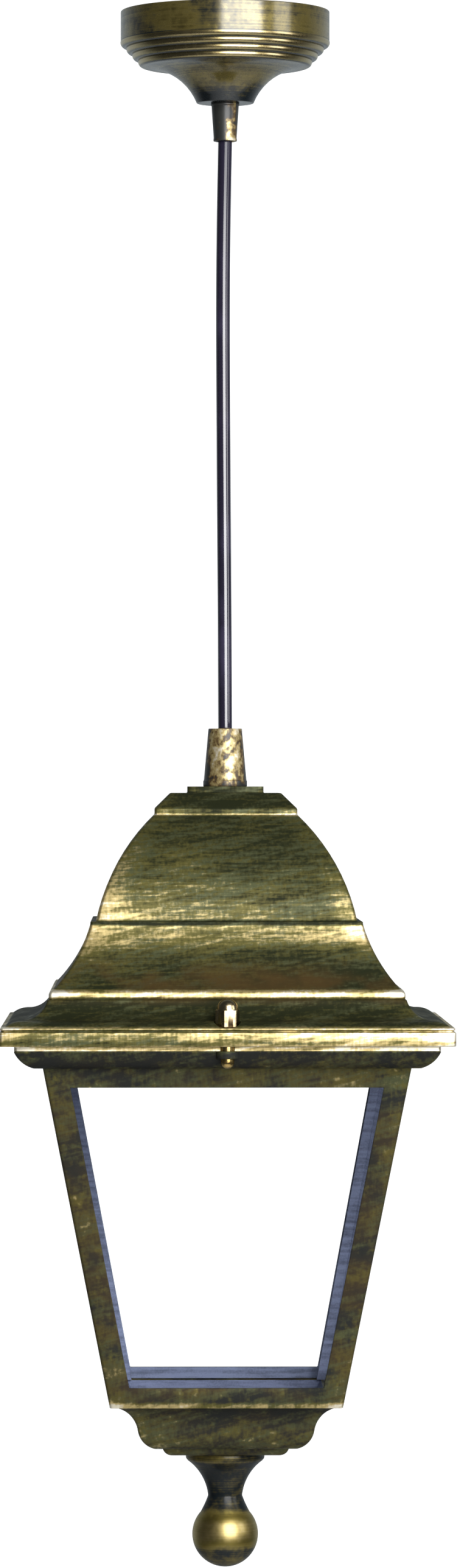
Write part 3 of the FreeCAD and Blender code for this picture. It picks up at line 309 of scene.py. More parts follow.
def outline(points, top, rounding=0.0, closed=False):
    """An outline's fine points in metres: round lines drawn out, and sharp corners rounded."""
    line = []
    for point in points:
        here = Vector((point[0] * MM, top - point[1] * MM))
        if len(point) == 3:
            line += bowed(line[-1], here, point[2] * MM)
        else:
            line.append(here)
    if not rounding:
        return line
    result = []
    count = len(line)
    for i, here in enumerate(line):
        if not closed and i in (0, count - 1):
            result.append(here)
            continue
        before, after = line[i - 1] - here, line[(i + 1) % count] - here
        if before.angle(after) > NEARLY_STRAIGHT:
            result.append(here)
            continue
        a = here + before.normalized() * min(rounding, ROUNDING_SHARE * before.length)
        b = here + after.normalized() * min(rounding, ROUNDING_SHARE * after.length)
        for t in (0.0, 0.33, 0.67, 1.0):
            result.append(a * (1 - t) ** 2 + here * 2 * t * (1 - t) + b * t * t)
    return result


def join_rings(rings, closed=False, capped=False):
    """Points and faces of rings of equally many points that run on from each other."""
    count = len(rings[0])
    faces = []
    pairs = list(zip(range(len(rings)), range(1, len(rings))))
    if closed:
        pairs.append((len(rings) - 1, 0))
    for a, b in pairs:
        for j in range(count):
            k = (j + 1) % count
            faces.append((a * count + j, b * count + j, b * count + k, a * count + k))
    points = [p for ring in rings for p in ring]
    if capped:
        faces += [tuple(range(count)), tuple(range(len(points) - count, len(points)))]
    return points, faces


def new_mesh(name, points, faces, sharp=40):
    """A mesh with outward faces, smooth apart from its sharp edges."""
    mesh = bpy.data.meshes.new(name)
    mesh.from_pydata([tuple(p) for p in points], [], faces)
    weld(mesh)
    smooth(mesh, sharp)
    return mesh


def weld(mesh):
    """Joins points that coincide, drops edges that have no face and turns every face outwards."""
    shaped = bmesh.new()
    shaped.from_mesh(mesh)
    bmesh.ops.remove_doubles(shaped, verts=shaped.verts, dist=SAME_POINT)
    bare = [edge for edge in shaped.edges if not edge.link_faces]
    bmesh.ops.delete(shaped, geom=bare, context="EDGES")
    bmesh.ops.recalc_face_normals(shaped, faces=shaped.faces)
    shaped.to_mesh(mesh)
    shaped.free()


def smooth(mesh, sharp=40):
    """Shades a mesh smooth, apart from edges sharper than so many degrees."""
    mesh.shade_smooth()
    mesh.set_sharp_from_angle(angle=math.radians(sharp))


def round_ring(radius, z, segments, centre=(0.0, 0.0)):
    """A level circle of points."""
    angles = [math.tau * i / segments for i in range(segments)]
    return [Vector((centre[0] + radius * math.cos(t), centre[1] + radius * math.sin(t), z)) for t in angles]


def lathe(name, line, segments, centre=(0.0, 0.0), flutes=0, fluted=None):
    """A turned piece. Flutes, if any, run round its outside between two heights, beyond a core radius."""
    rings = []
    for point in line:
        ring = round_ring(point.x, point.y, segments, centre)
        if flutes and fluted[0] < point.y < fluted[1] and point.x > fluted[2]:
            for i, p in enumerate(ring):
                hollow = (0.5 + 0.5 * math.cos(math.tau * flutes * i / segments)) ** 3
                share = 1 - FLUTE_DEPTH * MM / point.x * hollow
                p.x *= share
                p.y *= share
        rings.append(ring)
    return new_mesh(name, *join_rings(rings, closed=True))


def plug(name, steps, segments, centre=(0.0, 0.0)):
    """A solid round cutter: steps are radii and heights, from one end to the other."""
    rings = [round_ring(radius, z, segments, centre) for radius, z in steps]
    return place(name, new_mesh(name, *join_rings(rings, capped=True)))


def side_stops(half, corner, stile, cells):
    """Where a square ring's columns stand along one side: at both stiles and evenly between them."""
    inner = half - stile
    return [-half + corner] + [inner * (2 * i / cells - 1) for i in range(cells + 1)] + [half - corner]


def quarter_turned(points, side, z):
    """Level points of the front side, turned to one of the four sides."""
    c, s = math.cos(math.pi / 2 * side), math.sin(math.pi / 2 * side)
    return [Vector((x * c - y * s, x * s + y * c, z)) for x, y in points]


def square_ring(half, z, corner, stile, cells=10, bends=5):
    """A level square of points with rounded corners, from the front's left corner round to the right."""
    corner = min(corner, 0.3 * half)
    centre = half - corner
    front = [(x, -half) for x in side_stops(half, corner, stile, cells)]
    for i in range(1, bends):
        angle = -math.pi / 2 + math.pi / 2 * i / bends
        front.append((centre + corner * math.cos(angle), corner * math.sin(angle) - centre))
    return [point for side in range(4) for point in quarter_turned(front, side, z)]


def round_like(ring, radius, z):
    """A circle of points in the directions of a square ring's points."""
    return [Vector((p.x, p.y, 0)).normalized() * radius + Vector((0, 0, z)) for p in ring]


def cut(obj, cutter):
    """Cuts one object by another and removes the cutter."""
    modifier = obj.modifiers.new("cut", "BOOLEAN")
    modifier.object = cutter
    modifier.operation = "DIFFERENCE"
    modifier.solver = "EXACT"
    bpy.context.view_layer.update()
    result = bpy.data.meshes.new_from_object(obj.evaluated_get(bpy.context.evaluated_depsgraph_get()))
    obj.modifiers.clear()
    obj.data = result
    bpy.data.objects.remove(cutter)
    if not result.polygons:
        raise RuntimeError(f"nothing is left of {obj.name} after a cut")
    weld(result)
    smooth(result)


def place(name, mesh):
    """A new object of a mesh."""
    obj = bpy.data.objects.new(name, mesh)
    bpy.context.scene.collection.objects.link(obj)
    return obj


def dress(obj, body, slot, *materials, stands_for=()):
    """Gives a piece its materials and body, and hides the nodes that it stands for. The slot is not used."""
    obj.data.materials.clear()
    for material in materials:
        obj.data.materials.append(material)
    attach(obj, body)
    if stands_for:
        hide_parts(*stands_for)
    return obj


def merged(name, meshes):
    """One mesh out of several."""
    joined = bmesh.new()
    for mesh in meshes:
        joined.from_mesh(mesh)
    mesh = bpy.data.meshes.new(name)
    joined.to_mesh(mesh)
    joined.free()
    smooth(mesh)
    return mesh


# Shaders

class Value:
    """A shader socket that takes part in arithmetic."""

    def __init__(self, paint, socket):
        self.paint = paint
        self.socket = socket

    def math(self, operation, a, b):
        """A value worked out from two others."""
        return self.paint.node("ShaderNodeMath", {"operation": operation}, {0: a, 1: b})

    def __add__(self, other):
        return self.math("ADD", self, other)

    __radd__ = __add__

    def __mul__(self, other):
        return self.math("MULTIPLY", self, other)

    __rmul__ = __mul__

    def __sub__(self, other):
        return self.math("SUBTRACT", self, other)

    def __rsub__(self, other):
        return self.math("SUBTRACT", other, self)

    def __abs__(self):
        return self.math("ABSOLUTE", self, 0.0)


class Paint:
    """The nodes of a material or a world."""

    def __init__(self, owner, place="Object"):
        self.owner = owner
        owner.use_nodes = True
        self.tree = owner.node_tree
        self.tree.nodes.clear()
        self.place = self.node("ShaderNodeTexCoord", output=place)

    def node(self, kind, settings=None, sockets=None, output=0):
        """Adds a node: its settings first, then the values or links of its sockets."""
        node = self.tree.nodes.new(kind)
        for name, value in (settings or {}).items():
            if name == "stops":
                self.set_stops(node.color_ramp, value)
            else:
                setattr(node, name, value)
        for name, value in (sockets or {}).items():
            if isinstance(value, Value):
                self.tree.links.new(value.socket, node.inputs[name])
            else:
                node.inputs[name].default_value = value
        return Value(self, node.outputs[output]) if node.outputs else node

    @staticmethod
    def set_stops(ramp, stops):
        """Gives a ramp its grey levels."""
        while len(ramp.elements) < len(stops):
            ramp.elements.new(1.0)
        for element, (position, level) in zip(ramp.elements, stops):
            element.position = position
            element.color = (level, level, level, 1.0)

    def axis(self, index):
        """One coordinate of the place on the piece."""
        return self.node("ShaderNodeSeparateXYZ", None, {0: self.place}, index)

    def noise(self, scale, detail=3.0, stretch=(1, 1, 1), roughness=0.55, twist=0.0, slant=0.0):
        """Cloudy noise with about so many spots a metre, drawn out along axes that may slant about Y."""
        place = self.node("ShaderNodeMapping", {"vector_type": "TEXTURE"}, {
            "Vector": self.place, "Scale": [1 / s for s in stretch], "Rotation": (0.0, slant, 0.0)})
        return self.node("ShaderNodeTexNoise", None, {
            "Vector": place, "Scale": scale, "Detail": detail, "Roughness": roughness, "Distortion": twist})

    def between(self, value, low, high):
        """A smooth step from 0 at low to 1 at high."""
        return self.node("ShaderNodeMapRange", {"interpolation_type": "SMOOTHSTEP"},
                         {"Value": value, "From Min": low, "From Max": high})

    def by_height(self, top, stops):
        """A level that follows the height: stops are drops below the top, in millimetres, and levels."""
        reach = stops[-1][0] * MM
        drop = self.node("ShaderNodeMapRange", None,
                         {"Value": self.axis(2), "From Min": top, "From Max": top - reach})
        marks = [(mark * MM / reach, level) for mark, level in stops]
        return self.node("ShaderNodeValToRGB", {"stops": marks}, {"Fac": drop})

    def mix(self, a, b, share):
        """A colour between two others."""
        a, b = (c if isinstance(c, Value) else (*c, 1.0) for c in (a, b))
        return self.node("ShaderNodeMix", {"data_type": "RGBA"}, {0: share, 6: a, 7: b}, 2)

    def bump(self, height, depth, strength):
        """A normal that follows a height of so many metres."""
        return self.node("ShaderNodeBump", None, {"Height": height, "Distance": depth, "Strength": strength})

    def surface(self, **sockets):
        """The finished material: one principled shader with these sockets."""
        named = {name.replace("_", " "): value for name, value in sockets.items()}
        return self.output(self.node("ShaderNodeBsdfPrincipled", None, named))

    def blend(self, share, a, b):
        """A shader between two others."""
        return self.node("ShaderNodeMixShader", None, {0: share, 1: a, 2: b})

    def output(self, shader, kind="ShaderNodeOutputMaterial"):
        """Ends the nodes in a shader and gives back their owner."""
        self.node(kind, None, {"Surface": shader})
        return self.owner


def new_paint(name):
    """The nodes of a new material."""
    return Paint(bpy.data.materials.new(name))


def colours():
    """The lamp's colours, as set in the scene."""
    return bpy.context.scene.lamp_colours


def sizes():
    """The dressed pieces' sizes, as set in the scene."""
    return bpy.context.scene.lamp_sizes


def antique_gold(name, ground, top, gilt_stops, brown_and_shade_stops, side_gold_and_light_stops, streaks, patches, specks):
    """Dark moulded plastic with gold brushed over its high spots, most on edges and mouldings. Side gold is
    partly painted light, and the brown cast paints shade under the roof's bead.
    """
    paint = new_paint(name)
    c = colours()
    gilt = paint.by_height(top, gilt_stops)
    cast = paint.by_height(top, brown_and_shade_stops)
    # Side gold, partly painted light: gold grown to one side, brightest on the lit right of fascia and top
    # rail
    side_gold_and_light = (paint.by_height(top, side_gold_and_light_stops) - 0.5) * paint.axis(0) * 20
    brush = paint.noise(1.0, 4.0, streaks, 0.62, 0.4)
    sweep = paint.noise(1.0, 4.0, (35, 35, 480), 0.6, 0.0, math.radians(-14))
    stroke = paint.noise(1.0, 2.0, (950, 950, 55))
    fleck = paint.noise(620.0, 2.0)
    cloud = paint.noise(42.0, 3.0, (1, 1, 1.5))
    speck = paint.between(paint.noise(300.0, 1.0), 0.6, 0.78)
    hip = 1 - paint.between(abs(abs(paint.axis(0)) - abs(paint.axis(1))), 0.0006, 0.012)
    amount = (gilt * 0.75 + hip * (gilt * 0.35 + 0.1) + side_gold_and_light + (brush - 0.5) * 0.9 + (sweep - 0.5) * 0.9
              + (stroke - 0.5) * 0.35 + (cloud - 0.5) * patches + (fleck - 0.5) * 0.5 + speck * specks)
    thin = paint.between(amount, -0.1, 0.45)
    full = paint.between(amount, 0.36, 0.78)
    rubbed = paint.between(amount, 0.72, 1.05)
    wash = paint.mix(c.olive, c.tarnish, paint.between(sweep + (fleck - 0.5) * 0.5, 0.46, 0.6))
    colour = paint.mix(ground, wash, thin)
    # The brown cast: brown on the flare's foot and the body, and painted shade under the roof's bead
    colour = paint.mix(colour, c.russet, cast * paint.between(cloud, 0.35, 0.6) * 0.8)
    colour = paint.mix(colour, c.gold, full)
    colour = paint.mix(colour, c.pale_gold, rubbed)
    relief = brush * 0.3 + sweep * 0.2 + stroke * 0.2 + fleck * 0.3
    return paint.surface(
        Base_Color=colour, Metallic=0.2 + thin * 0.3 + full * 0.3,
        Roughness=0.62 - thin * 0.16 - full * 0.08 + (fleck - 0.5) * 0.2,
        Specular_IOR_Level=0.06, Coat_Weight=0.02 + thin * 0.06, Coat_Roughness=0.22,
        Normal=paint.bump(relief, 0.00012, 0.5))


def slate_plastic(name):
    """The bare moulded plastic inside roof and body."""
    paint = new_paint(name)
    cloud = paint.noise(60.0, 3.0)
    drag = paint.noise(1.0, 3.0, (60, 60, 700))
    grain = paint.noise(1500.0, 2.0)
    dark = [channel * 0.4 for channel in colours().slate]
    shade = (cloud - 0.5) * 0.6 + (drag - 0.5) * 0.8 + (grain - 0.5) * 0.3 + 0.5
    return paint.surface(
        Base_Color=paint.mix(dark, colours().slate, paint.between(shade, 0.2, 0.7)),
        Roughness=0.6 + (grain - 0.5) * 0.2, Specular_IOR_Level=0.1, Normal=paint.bump(grain, 0.00006, 0.5))


def bronze_lacquer(name, top, gilt_stops, roughness, coat):
    """Glossy dark bronze lacquer on spun metal, with fine turning lines and gold on its ribs."""
    paint = new_paint(name)
    c = colours()
    turning = paint.noise(1.0, 3.0, (14, 14, 2600), 0.6)
    cloud = paint.noise(60.0, 3.0)
    fleck = paint.noise(520.0, 2.0)
    gilt = paint.by_height(top, gilt_stops)
    amount = gilt + (turning - 0.5) * 0.4 + (cloud - 0.5) * 0.6 + (fleck - 0.5) * 0.25
    thin = paint.between(amount, 0.05, 0.5)
    full = paint.between(amount, 0.45, 0.95)
    colour = paint.mix(c.lacquer, c.bronze, thin)
    colour = paint.mix(colour, c.gold, full)
    return paint.surface(
        Base_Color=colour, Metallic=thin * 0.97 + full * 0.03, Specular_IOR_Level=0.15,
        Roughness=roughness + (fleck - 0.5) * 0.1 + (cloud - 0.5) * 0.1,
        Coat_Weight=coat * (0.7 + thin * 0.3), Coat_IOR=2.1, Coat_Roughness=0.16,
        Normal=paint.bump(turning * 0.6 + fleck * 0.4, 0.00005, 0.4))


def mottled_gold(name, top, gilt_stops, middle, reach):
    """Gold sponged over black on a cord grip, thinning out on both sides of a middle line: painted shade
    towards the grip's left and right sides, round a painted lit line.
    """
    paint = new_paint(name)
    c = colours()
    blotch = paint.noise(360.0, 3.0, (1, 1, 0.7), 0.5, 0.4)
    fleck = paint.noise(900.0, 2.0)
    # Painted shade: the gold thins away from the lit line towards the grip's left and right sides
    aside = paint.between(abs(paint.axis(0) - middle), 0.5 * reach, reach)
    amount = blotch + (fleck - 0.5) * 0.3 - aside * 0.3 + (paint.by_height(top, gilt_stops) - 0.5) * 0.4
    colour = paint.mix(c.soot, c.russet, paint.between(amount, 0.3, 0.42))
    colour = paint.mix(colour, c.gold, paint.between(amount, 0.4, 0.58))
    colour = paint.mix(colour, c.pale_gold, paint.between(amount, 0.54, 0.76))
    return paint.surface(
        Base_Color=colour, Metallic=paint.between(amount, 0.4, 0.55) * 0.6, Roughness=0.36 + fleck * 0.15,
        Coat_Weight=0.2 + (fleck - 0.5) * 0.2, Coat_Roughness=0.15,
        Normal=paint.bump(blotch * 0.6 + fleck * 0.4, 0.0001, 0.5))


def black_flex(name):
    """The flex's sheath: smooth extruded rubber with faint lengthwise drag lines, duller at its top."""
    paint = new_paint(name)
    drag = paint.noise(1.0, 3.0, (1800, 1800, 40))
    scuff = paint.noise(90.0, 4.0, (1, 1, 0.4))
    worn = [channel * 2.2 for channel in colours().flex]
    gloss = paint.by_height(CORD_ROUTE[0][2], CORD_GLOSS)
    return paint.surface(
        Base_Color=paint.mix(colours().flex, worn, paint.between(scuff, 0.5, 0.75)),
        Roughness=0.2 + (scuff - 0.5) * 0.2, Specular_IOR_Level=0.3,
        Coat_Weight=gloss * (0.55 + scuff * 0.3), Coat_IOR=2.1, Coat_Roughness=0.08,
        Normal=paint.bump(drag, 0.00001, 0.3))


def metal(name, colour, shade, roughness, grain_stretch):
    """Bare metal with a fine grain and a duller film in patches."""
    paint = new_paint(name)
    grain = paint.noise(1.0, 3.0, grain_stretch)
    film = paint.noise(140.0, 3.0)
    return paint.surface(
        Base_Color=paint.mix(shade, colour, paint.between(film, 0.3, 0.62)), Metallic=1.0,
        Roughness=roughness + (grain - 0.5) * 0.25 + (film - 0.5) * 0.1,
        Normal=paint.bump(grain, 0.00003, 0.4))


def moulded(name, colour, dark, roughness, coat=0.0):
    """Plain moulded plastic or glazed ceramic with slight clouding and an eggshell skin."""
    paint = new_paint(name)
    cloud = paint.noise(110.0, 3.0)
    skin = paint.noise(1600.0, 2.0)
    return paint.surface(
        Base_Color=paint.mix(dark, colour, paint.between(cloud, 0.25, 0.6)),
        Roughness=roughness + (skin - 0.5) * 0.15 + (cloud - 0.5) * 0.1, Coat_Weight=coat,
        Normal=paint.bump(skin, 0.00004, 0.35))


def clear_glass(name):
    """A clear pane: see-through, with a gloss that grows towards the edge of sight and a trace of dust. The
    gloss is a painted slate-blue reflection as well.
    """
    paint = new_paint(name)
    dust = paint.noise(35.0, 4.0, (1, 1, 0.6))
    facing = paint.node("ShaderNodeLayerWeight", None, {"Blend": 0.5}, "Facing")
    clear = paint.node("ShaderNodeBsdfTransparent", None, {"Color": (0.996, 0.999, 0.998, 1.0)})
    # Painted reflection: towards the edge of sight the pane turns a glossy slate blue
    gloss_and_slate_reflection = paint.node("ShaderNodeBsdfPrincipled", None, {
        "Base Color": (0.2, 0.225, 0.34, 1.0), "Roughness": 0.06 + (dust - 0.5) * 0.04})
    share = paint.between(facing, 0.6, 0.95) * 0.9 + paint.between(dust, 0.62, 0.85) * 0.01
    return paint.output(paint.blend(share, clear, gloss_and_slate_reflection))


def pale_floor(name):
    """Pale paint that looks evenly lit but throws little light back at the lamp."""
    paint = new_paint(name)
    cloud = paint.noise(2.5, 3.0)
    pale = paint.mix((0.84, 0.84, 0.83), (0.88, 0.88, 0.87), cloud)
    plain = paint.node("ShaderNodeBsdfPrincipled", None, {"Base Color": pale, "Roughness": 0.7})
    even = paint.node("ShaderNodeEmission", None, {"Color": pale, "Strength": 1.0})
    seen = paint.node("ShaderNodeLightPath", output="Is Camera Ray")
    return paint.output(paint.blend(seen * 0.6, plain, even))


FINISHES = {
    "slate_plastic": slate_plastic,
    "black_flex": black_flex,
    "clear_glass": clear_glass,
    "zinc_steel": lambda name: metal(name, (0.66, 0.67, 0.68), (0.4, 0.42, 0.43), 0.34, (300, 300, 900)),
    "brass": lambda name: metal(name, (0.78, 0.57, 0.22), (0.42, 0.27, 0.09), 0.26, (700, 700, 700)),
    "white_plastic": lambda name: moulded(name, (0.8, 0.8, 0.76), (0.66, 0.65, 0.6), 0.35),
    "white_ceramic": lambda name: moulded(name, (0.86, 0.84, 0.78), (0.74, 0.71, 0.63), 0.2, 0.6),
    "black_bakelite": lambda name: moulded(name, (0.022, 0.02, 0.019), (0.01, 0.009, 0.009), 0.3, 0.3),
    "brown_lead": lambda name: moulded(name, (0.16, 0.06, 0.025), (0.1, 0.035, 0.015), 0.4),
    "blue_lead": lambda name: moulded(name, (0.04, 0.12, 0.42), (0.025, 0.08, 0.28), 0.4),
}


def finish(kind):
    """A shared finish, made when first asked for. The solid model's plain ones keep their own names."""
    name = f"dressed_{kind}"
    return bpy.data.materials.get(name) or FINISHES[kind](name)


# Pieces

class LAMP_OT_stage(bpy.types.Operator):
    """Sets the camera, the soft lights and the pale floor"""
    bl_idname = "lamp.stage"
    bl_label = "Stage"

    def execute(self, context):
        stage = context.scene.lamp_stage
        self.add_camera(context, stage)
        self.add_lights(context, stage)
        self.add_surround(context, stage)
        self.add_floor(stage)
        context.scene.view_settings.view_transform = "Standard"
        return {"FINISHED"}

    def add_camera(self, context, stage):
        """Stands the camera where the photograph was taken."""
        camera = bpy.data.cameras.new("camera")
        camera.sensor_fit = "VERTICAL"
        camera.angle = 2 * math.atan(PHOTO_HEIGHT / 2 * PIXEL / stage.distance)
        camera.clip_end = 60.0
        obj = bpy.data.objects.new("camera", camera)
        context.scene.collection.objects.link(obj)
        height = -(PHOTO_HEIGHT / 2 - CEILING_PIXEL) * PIXEL
        aside = (PHOTO_WIDTH / 2 - AXIS_PIXEL) * PIXEL
        c, s = math.cos(stage.yaw), math.sin(stage.yaw)
        obj.location = (-s * stage.distance + c * aside, -c * stage.distance - s * aside, height)
        obj.rotation_euler = (math.pi / 2, 0.0, -stage.yaw)
        context.scene.camera = obj

    def add_lights(self, context, stage):
        """Hangs a large soft light in front and a narrow one at the right."""
        lights = (("key", stage.key, KEY_SPOT, KEY_SIZE), ("side", stage.side, SIDE_SPOT, SIDE_SIZE))
        for name, power, spot, size in lights:
            light = bpy.data.lights.new(name, "AREA")
            light.shape = "RECTANGLE"
            light.size, light.size_y = size
            light.energy = power
            obj = bpy.data.objects.new(name, light)
            context.scene.collection.objects.link(obj)
            obj.location = spot
            obj.rotation_euler = (LIGHT_AIM - spot).to_track_quat("-Z", "Y").to_euler()

    def add_surround(self, context, stage):
        """White where the camera looks past the lamp; a dim room with a brighter back wall for all else."""
        world = bpy.data.worlds.new("surround")
        context.scene.world = world
        paint = Paint(world, "Generated")

        def glow(colour, strength):
            return paint.node("ShaderNodeBackground", None, {"Color": (*colour, 1.0), "Strength": strength})

        behind = paint.between(paint.axis(1), 0.1, 0.9)
        room = paint.blend(behind, glow(ROOM_TINT, stage.room), glow(BACK_TINT, stage.back))
        seen = paint.node("ShaderNodeLightPath", output="Is Camera Ray")
        paint.output(paint.blend(seen, room, glow(WHITE, WHITE_GLOW)), "ShaderNodeOutputWorld")

    def add_floor(self, stage):
        """Lays a round pale floor far below the lamp."""
        rings = [round_ring(radius, -stage.floor_drop, 64) for radius in (0.01, stage.floor_reach)]
        floor = place("floor", new_mesh("floor", *join_rings(rings)))
        floor.data.materials.append(pale_floor("pale_floor"))


class LAMP_OT_ceiling_cup(bpy.types.Operator):
    """Builds the spun ceiling cup with its ring of ribs"""
    bl_idname = "lamp.ceiling_cup"
    bl_label = "Ceiling cup"

    def execute(self, context):
        top = box_top("canopy_cup")
        line = outline(CUP_OUTLINE, top, 0.6 * sizes().edge, closed=True)
        cup = place("ceiling_cup", lathe("ceiling_cup", line, segments=128))
        lacquer = bronze_lacquer("cup_lacquer", top, CUP_GILT, roughness=0.27, coat=0.65)
        dress(cup, "canopy", "bronze_metal", lacquer, stands_for=["canopy_cup"])
        return {"FINISHED"}


class LAMP_OT_cord_grips(bpy.types.Operator):
    """Builds the two conical cord grips, each with the hole of its set screw"""
    bl_idname = "lamp.cord_grips"
    bl_label = "Cord grips"

    def execute(self, context):
        grips = (
            ("upper_grip", "upper_cord_grip", "upper_grip_screw", "canopy", UPPER_GRIP_OUTLINE, 2.2, 2.8,
             UPPER_GRIP_GILT),
            ("lower_grip", "lower_cord_grip", "lower_grip_screw", "lantern", LOWER_GRIP_OUTLINE, 0.0, 8.2,
             LOWER_GRIP_GILT),
        )
        for name, node, screw, body, points, lit_line_x, reach, gilt in grips:
            line = outline(points, box_top(node), 0.6 * sizes().edge, closed=True)
            grip = place(name, lathe(name, line, segments=64))
            low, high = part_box(screw)
            middle = Vector(low).lerp(Vector(high), 0.5)
            radius = (high[0] - low[0]) / 2 + SCREW_CLEARANCE * MM
            cutter = plug("screw_hole", ((radius, 0.0), (radius, SCREW_HOLE_REACH * MM)), segments=24)
            cutter.rotation_euler = (-math.pi / 2, 0, 0)
            cutter.location = (middle.x, 0.0, middle.z)
            cut(grip, cutter)
            gold = mottled_gold(f"{name}_gold", box_top(node), gilt, lit_line_x * MM, reach * MM)
            dress(grip, body, "gold_plastic", gold, stands_for=[node])
        return {"FINISHED"}


class LAMP_OT_cord(bpy.types.Operator):
    """Lays the round flex along its route, with a round end in each grip's mouth"""
    bl_idname = "lamp.cord"
    bl_label = "Cord"

    def execute(self, context):
        path = self.route(context)
        radius = sizes().cord / 2
        along = [(b - a).normalized() for a, b in zip(path, path[1:])]
        ways = along[:1] + [(a + b).normalized() for a, b in zip(along, along[1:])] + along[-1:]
        stations = [(p, way, 1.0) for p, way in zip(path, ways)]
        dome = [math.radians(angle) for angle in range(80, 0, -20)]
        first = [(path[0] - ways[0] * radius * math.sin(t), ways[0], math.cos(t)) for t in dome]
        last = [(path[-1] + ways[-1] * radius * math.sin(t), ways[-1], math.cos(t)) for t in reversed(dome)]
        rings = [self.ring(*station, radius) for station in first + stations + last]
        cord = place("flex", new_mesh("flex", *join_rings(rings, capped=True)))
        dress(cord, "cord", "black_flex", finish("black_flex"), stands_for=["cord"])
        return {"FINISHED"}

    def route(self, context):
        """Points along the smooth curve that the route's points control."""
        curve = bpy.data.curves.new("cord_route", "CURVE")
        curve.dimensions = "3D"
        curve.resolution_u = 16
        spline = curve.splines.new("NURBS")
        spline.points.add(len(CORD_ROUTE) - 1)
        for point, spot in zip(spline.points, CORD_ROUTE):
            point.co = (*spot, 1.0)
        spline.order_u = 3
        spline.use_endpoint_u = True
        obj = bpy.data.objects.new("cord_route", curve)
        context.scene.collection.objects.link(obj)
        bpy.context.view_layer.update()
        mesh = bpy.data.meshes.new_from_object(obj.evaluated_get(context.evaluated_depsgraph_get()))
        path = [v.co.copy() for v in mesh.vertices]
        bpy.data.objects.remove(obj)
        bpy.data.meshes.remove(mesh)
        return path

    def ring(self, centre, way, share, radius, segments=28):
        """One ring of the sheath, square to its way."""
        across = Vector((1, 0, 0))
        across = (across - way * across.dot(way)).normalized()
        other = way.cross(across)
        angles = [math.tau * i / segments for i in range(segments)]
        return [centre + (across * math.cos(t) + other * math.sin(t)) * radius * share for t in angles]


class LAMP_OT_roof(bpy.types.Operator):
    """Builds the domed square roof with rounded hips, its thin shell and the seats of the acorn nuts"""
    bl_idname = "lamp.roof"
    bl_label = "Roof"

    def execute(self, context):
        top = box_top("roof")
        stile = STILE * MM
        outside = outline(ROOF_OUTSIDE, top, sizes().edge)
        inside = outline(ROOF_INSIDE, top, sizes().edge)
        rings = [square_ring(p.x, p.y, sizes().hip, stile) for p in outside]
        inner = [square_ring(p.x, p.y, 0.5 * sizes().hip, stile) for p in inside]
        top_hole = round_like(rings[0], ROOF_HOLE * MM, top)
        ceiling_hole = round_like(rings[0], ROOF_HOLE * MM, inside[-1].y)
        points, faces = join_rings([top_hole] + rings + inner + [ceiling_hole], closed=True)
        roof = place("domed_roof", new_mesh("domed_roof", points, faces, sharp=50))
        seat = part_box("acorn_nuts")[0][2]
        for side in (-1, 1):
            spot = (0.0, side * STUD_OFFSET * MM)
            wide, narrow, reach = NUT_SEAT_RADIUS * MM, STUD_HOLE * MM, NUT_SEAT_REACH * MM
            steps = ((wide, seat + reach), (wide, seat), (narrow, seat), (narrow, seat - reach))
            cut(roof, plug("nut_seat", steps, 40, spot))
        gold = antique_gold(
            "roof_gold", colours().patina, top, ROOF_GILT, ROOF_BROWN_AND_SHADE, ROOF_SIDE_GOLD_AND_LIGHT, streaks=(60, 60, 900),
            patches=0.4, specks=0.0)
        dress(roof, "lantern", "antique_plastic", gold, finish("slate_plastic"), stands_for=["roof"])
        self.bare_inside(roof, inside)
        return {"FINISHED"}

    def bare_inside(self, roof, inside):
        """Leaves the faces of the inner shell unpainted."""
        for face in roof.data.polygons:
            reach = max(abs(face.center.x), abs(face.center.y))
            for a, b in zip(inside, inside[1:]):
                if b.y > a.y and a.y - SAME_LEVEL <= face.center.z <= b.y + SAME_LEVEL:
                    wall = a.x + (b.x - a.x) * (face.center.z - a.y) / (b.y - a.y)
                    if reach < wall + ROOF_SKIN and face.center.z < inside[-1].y + SAME_LEVEL:
                        face.material_index = 1


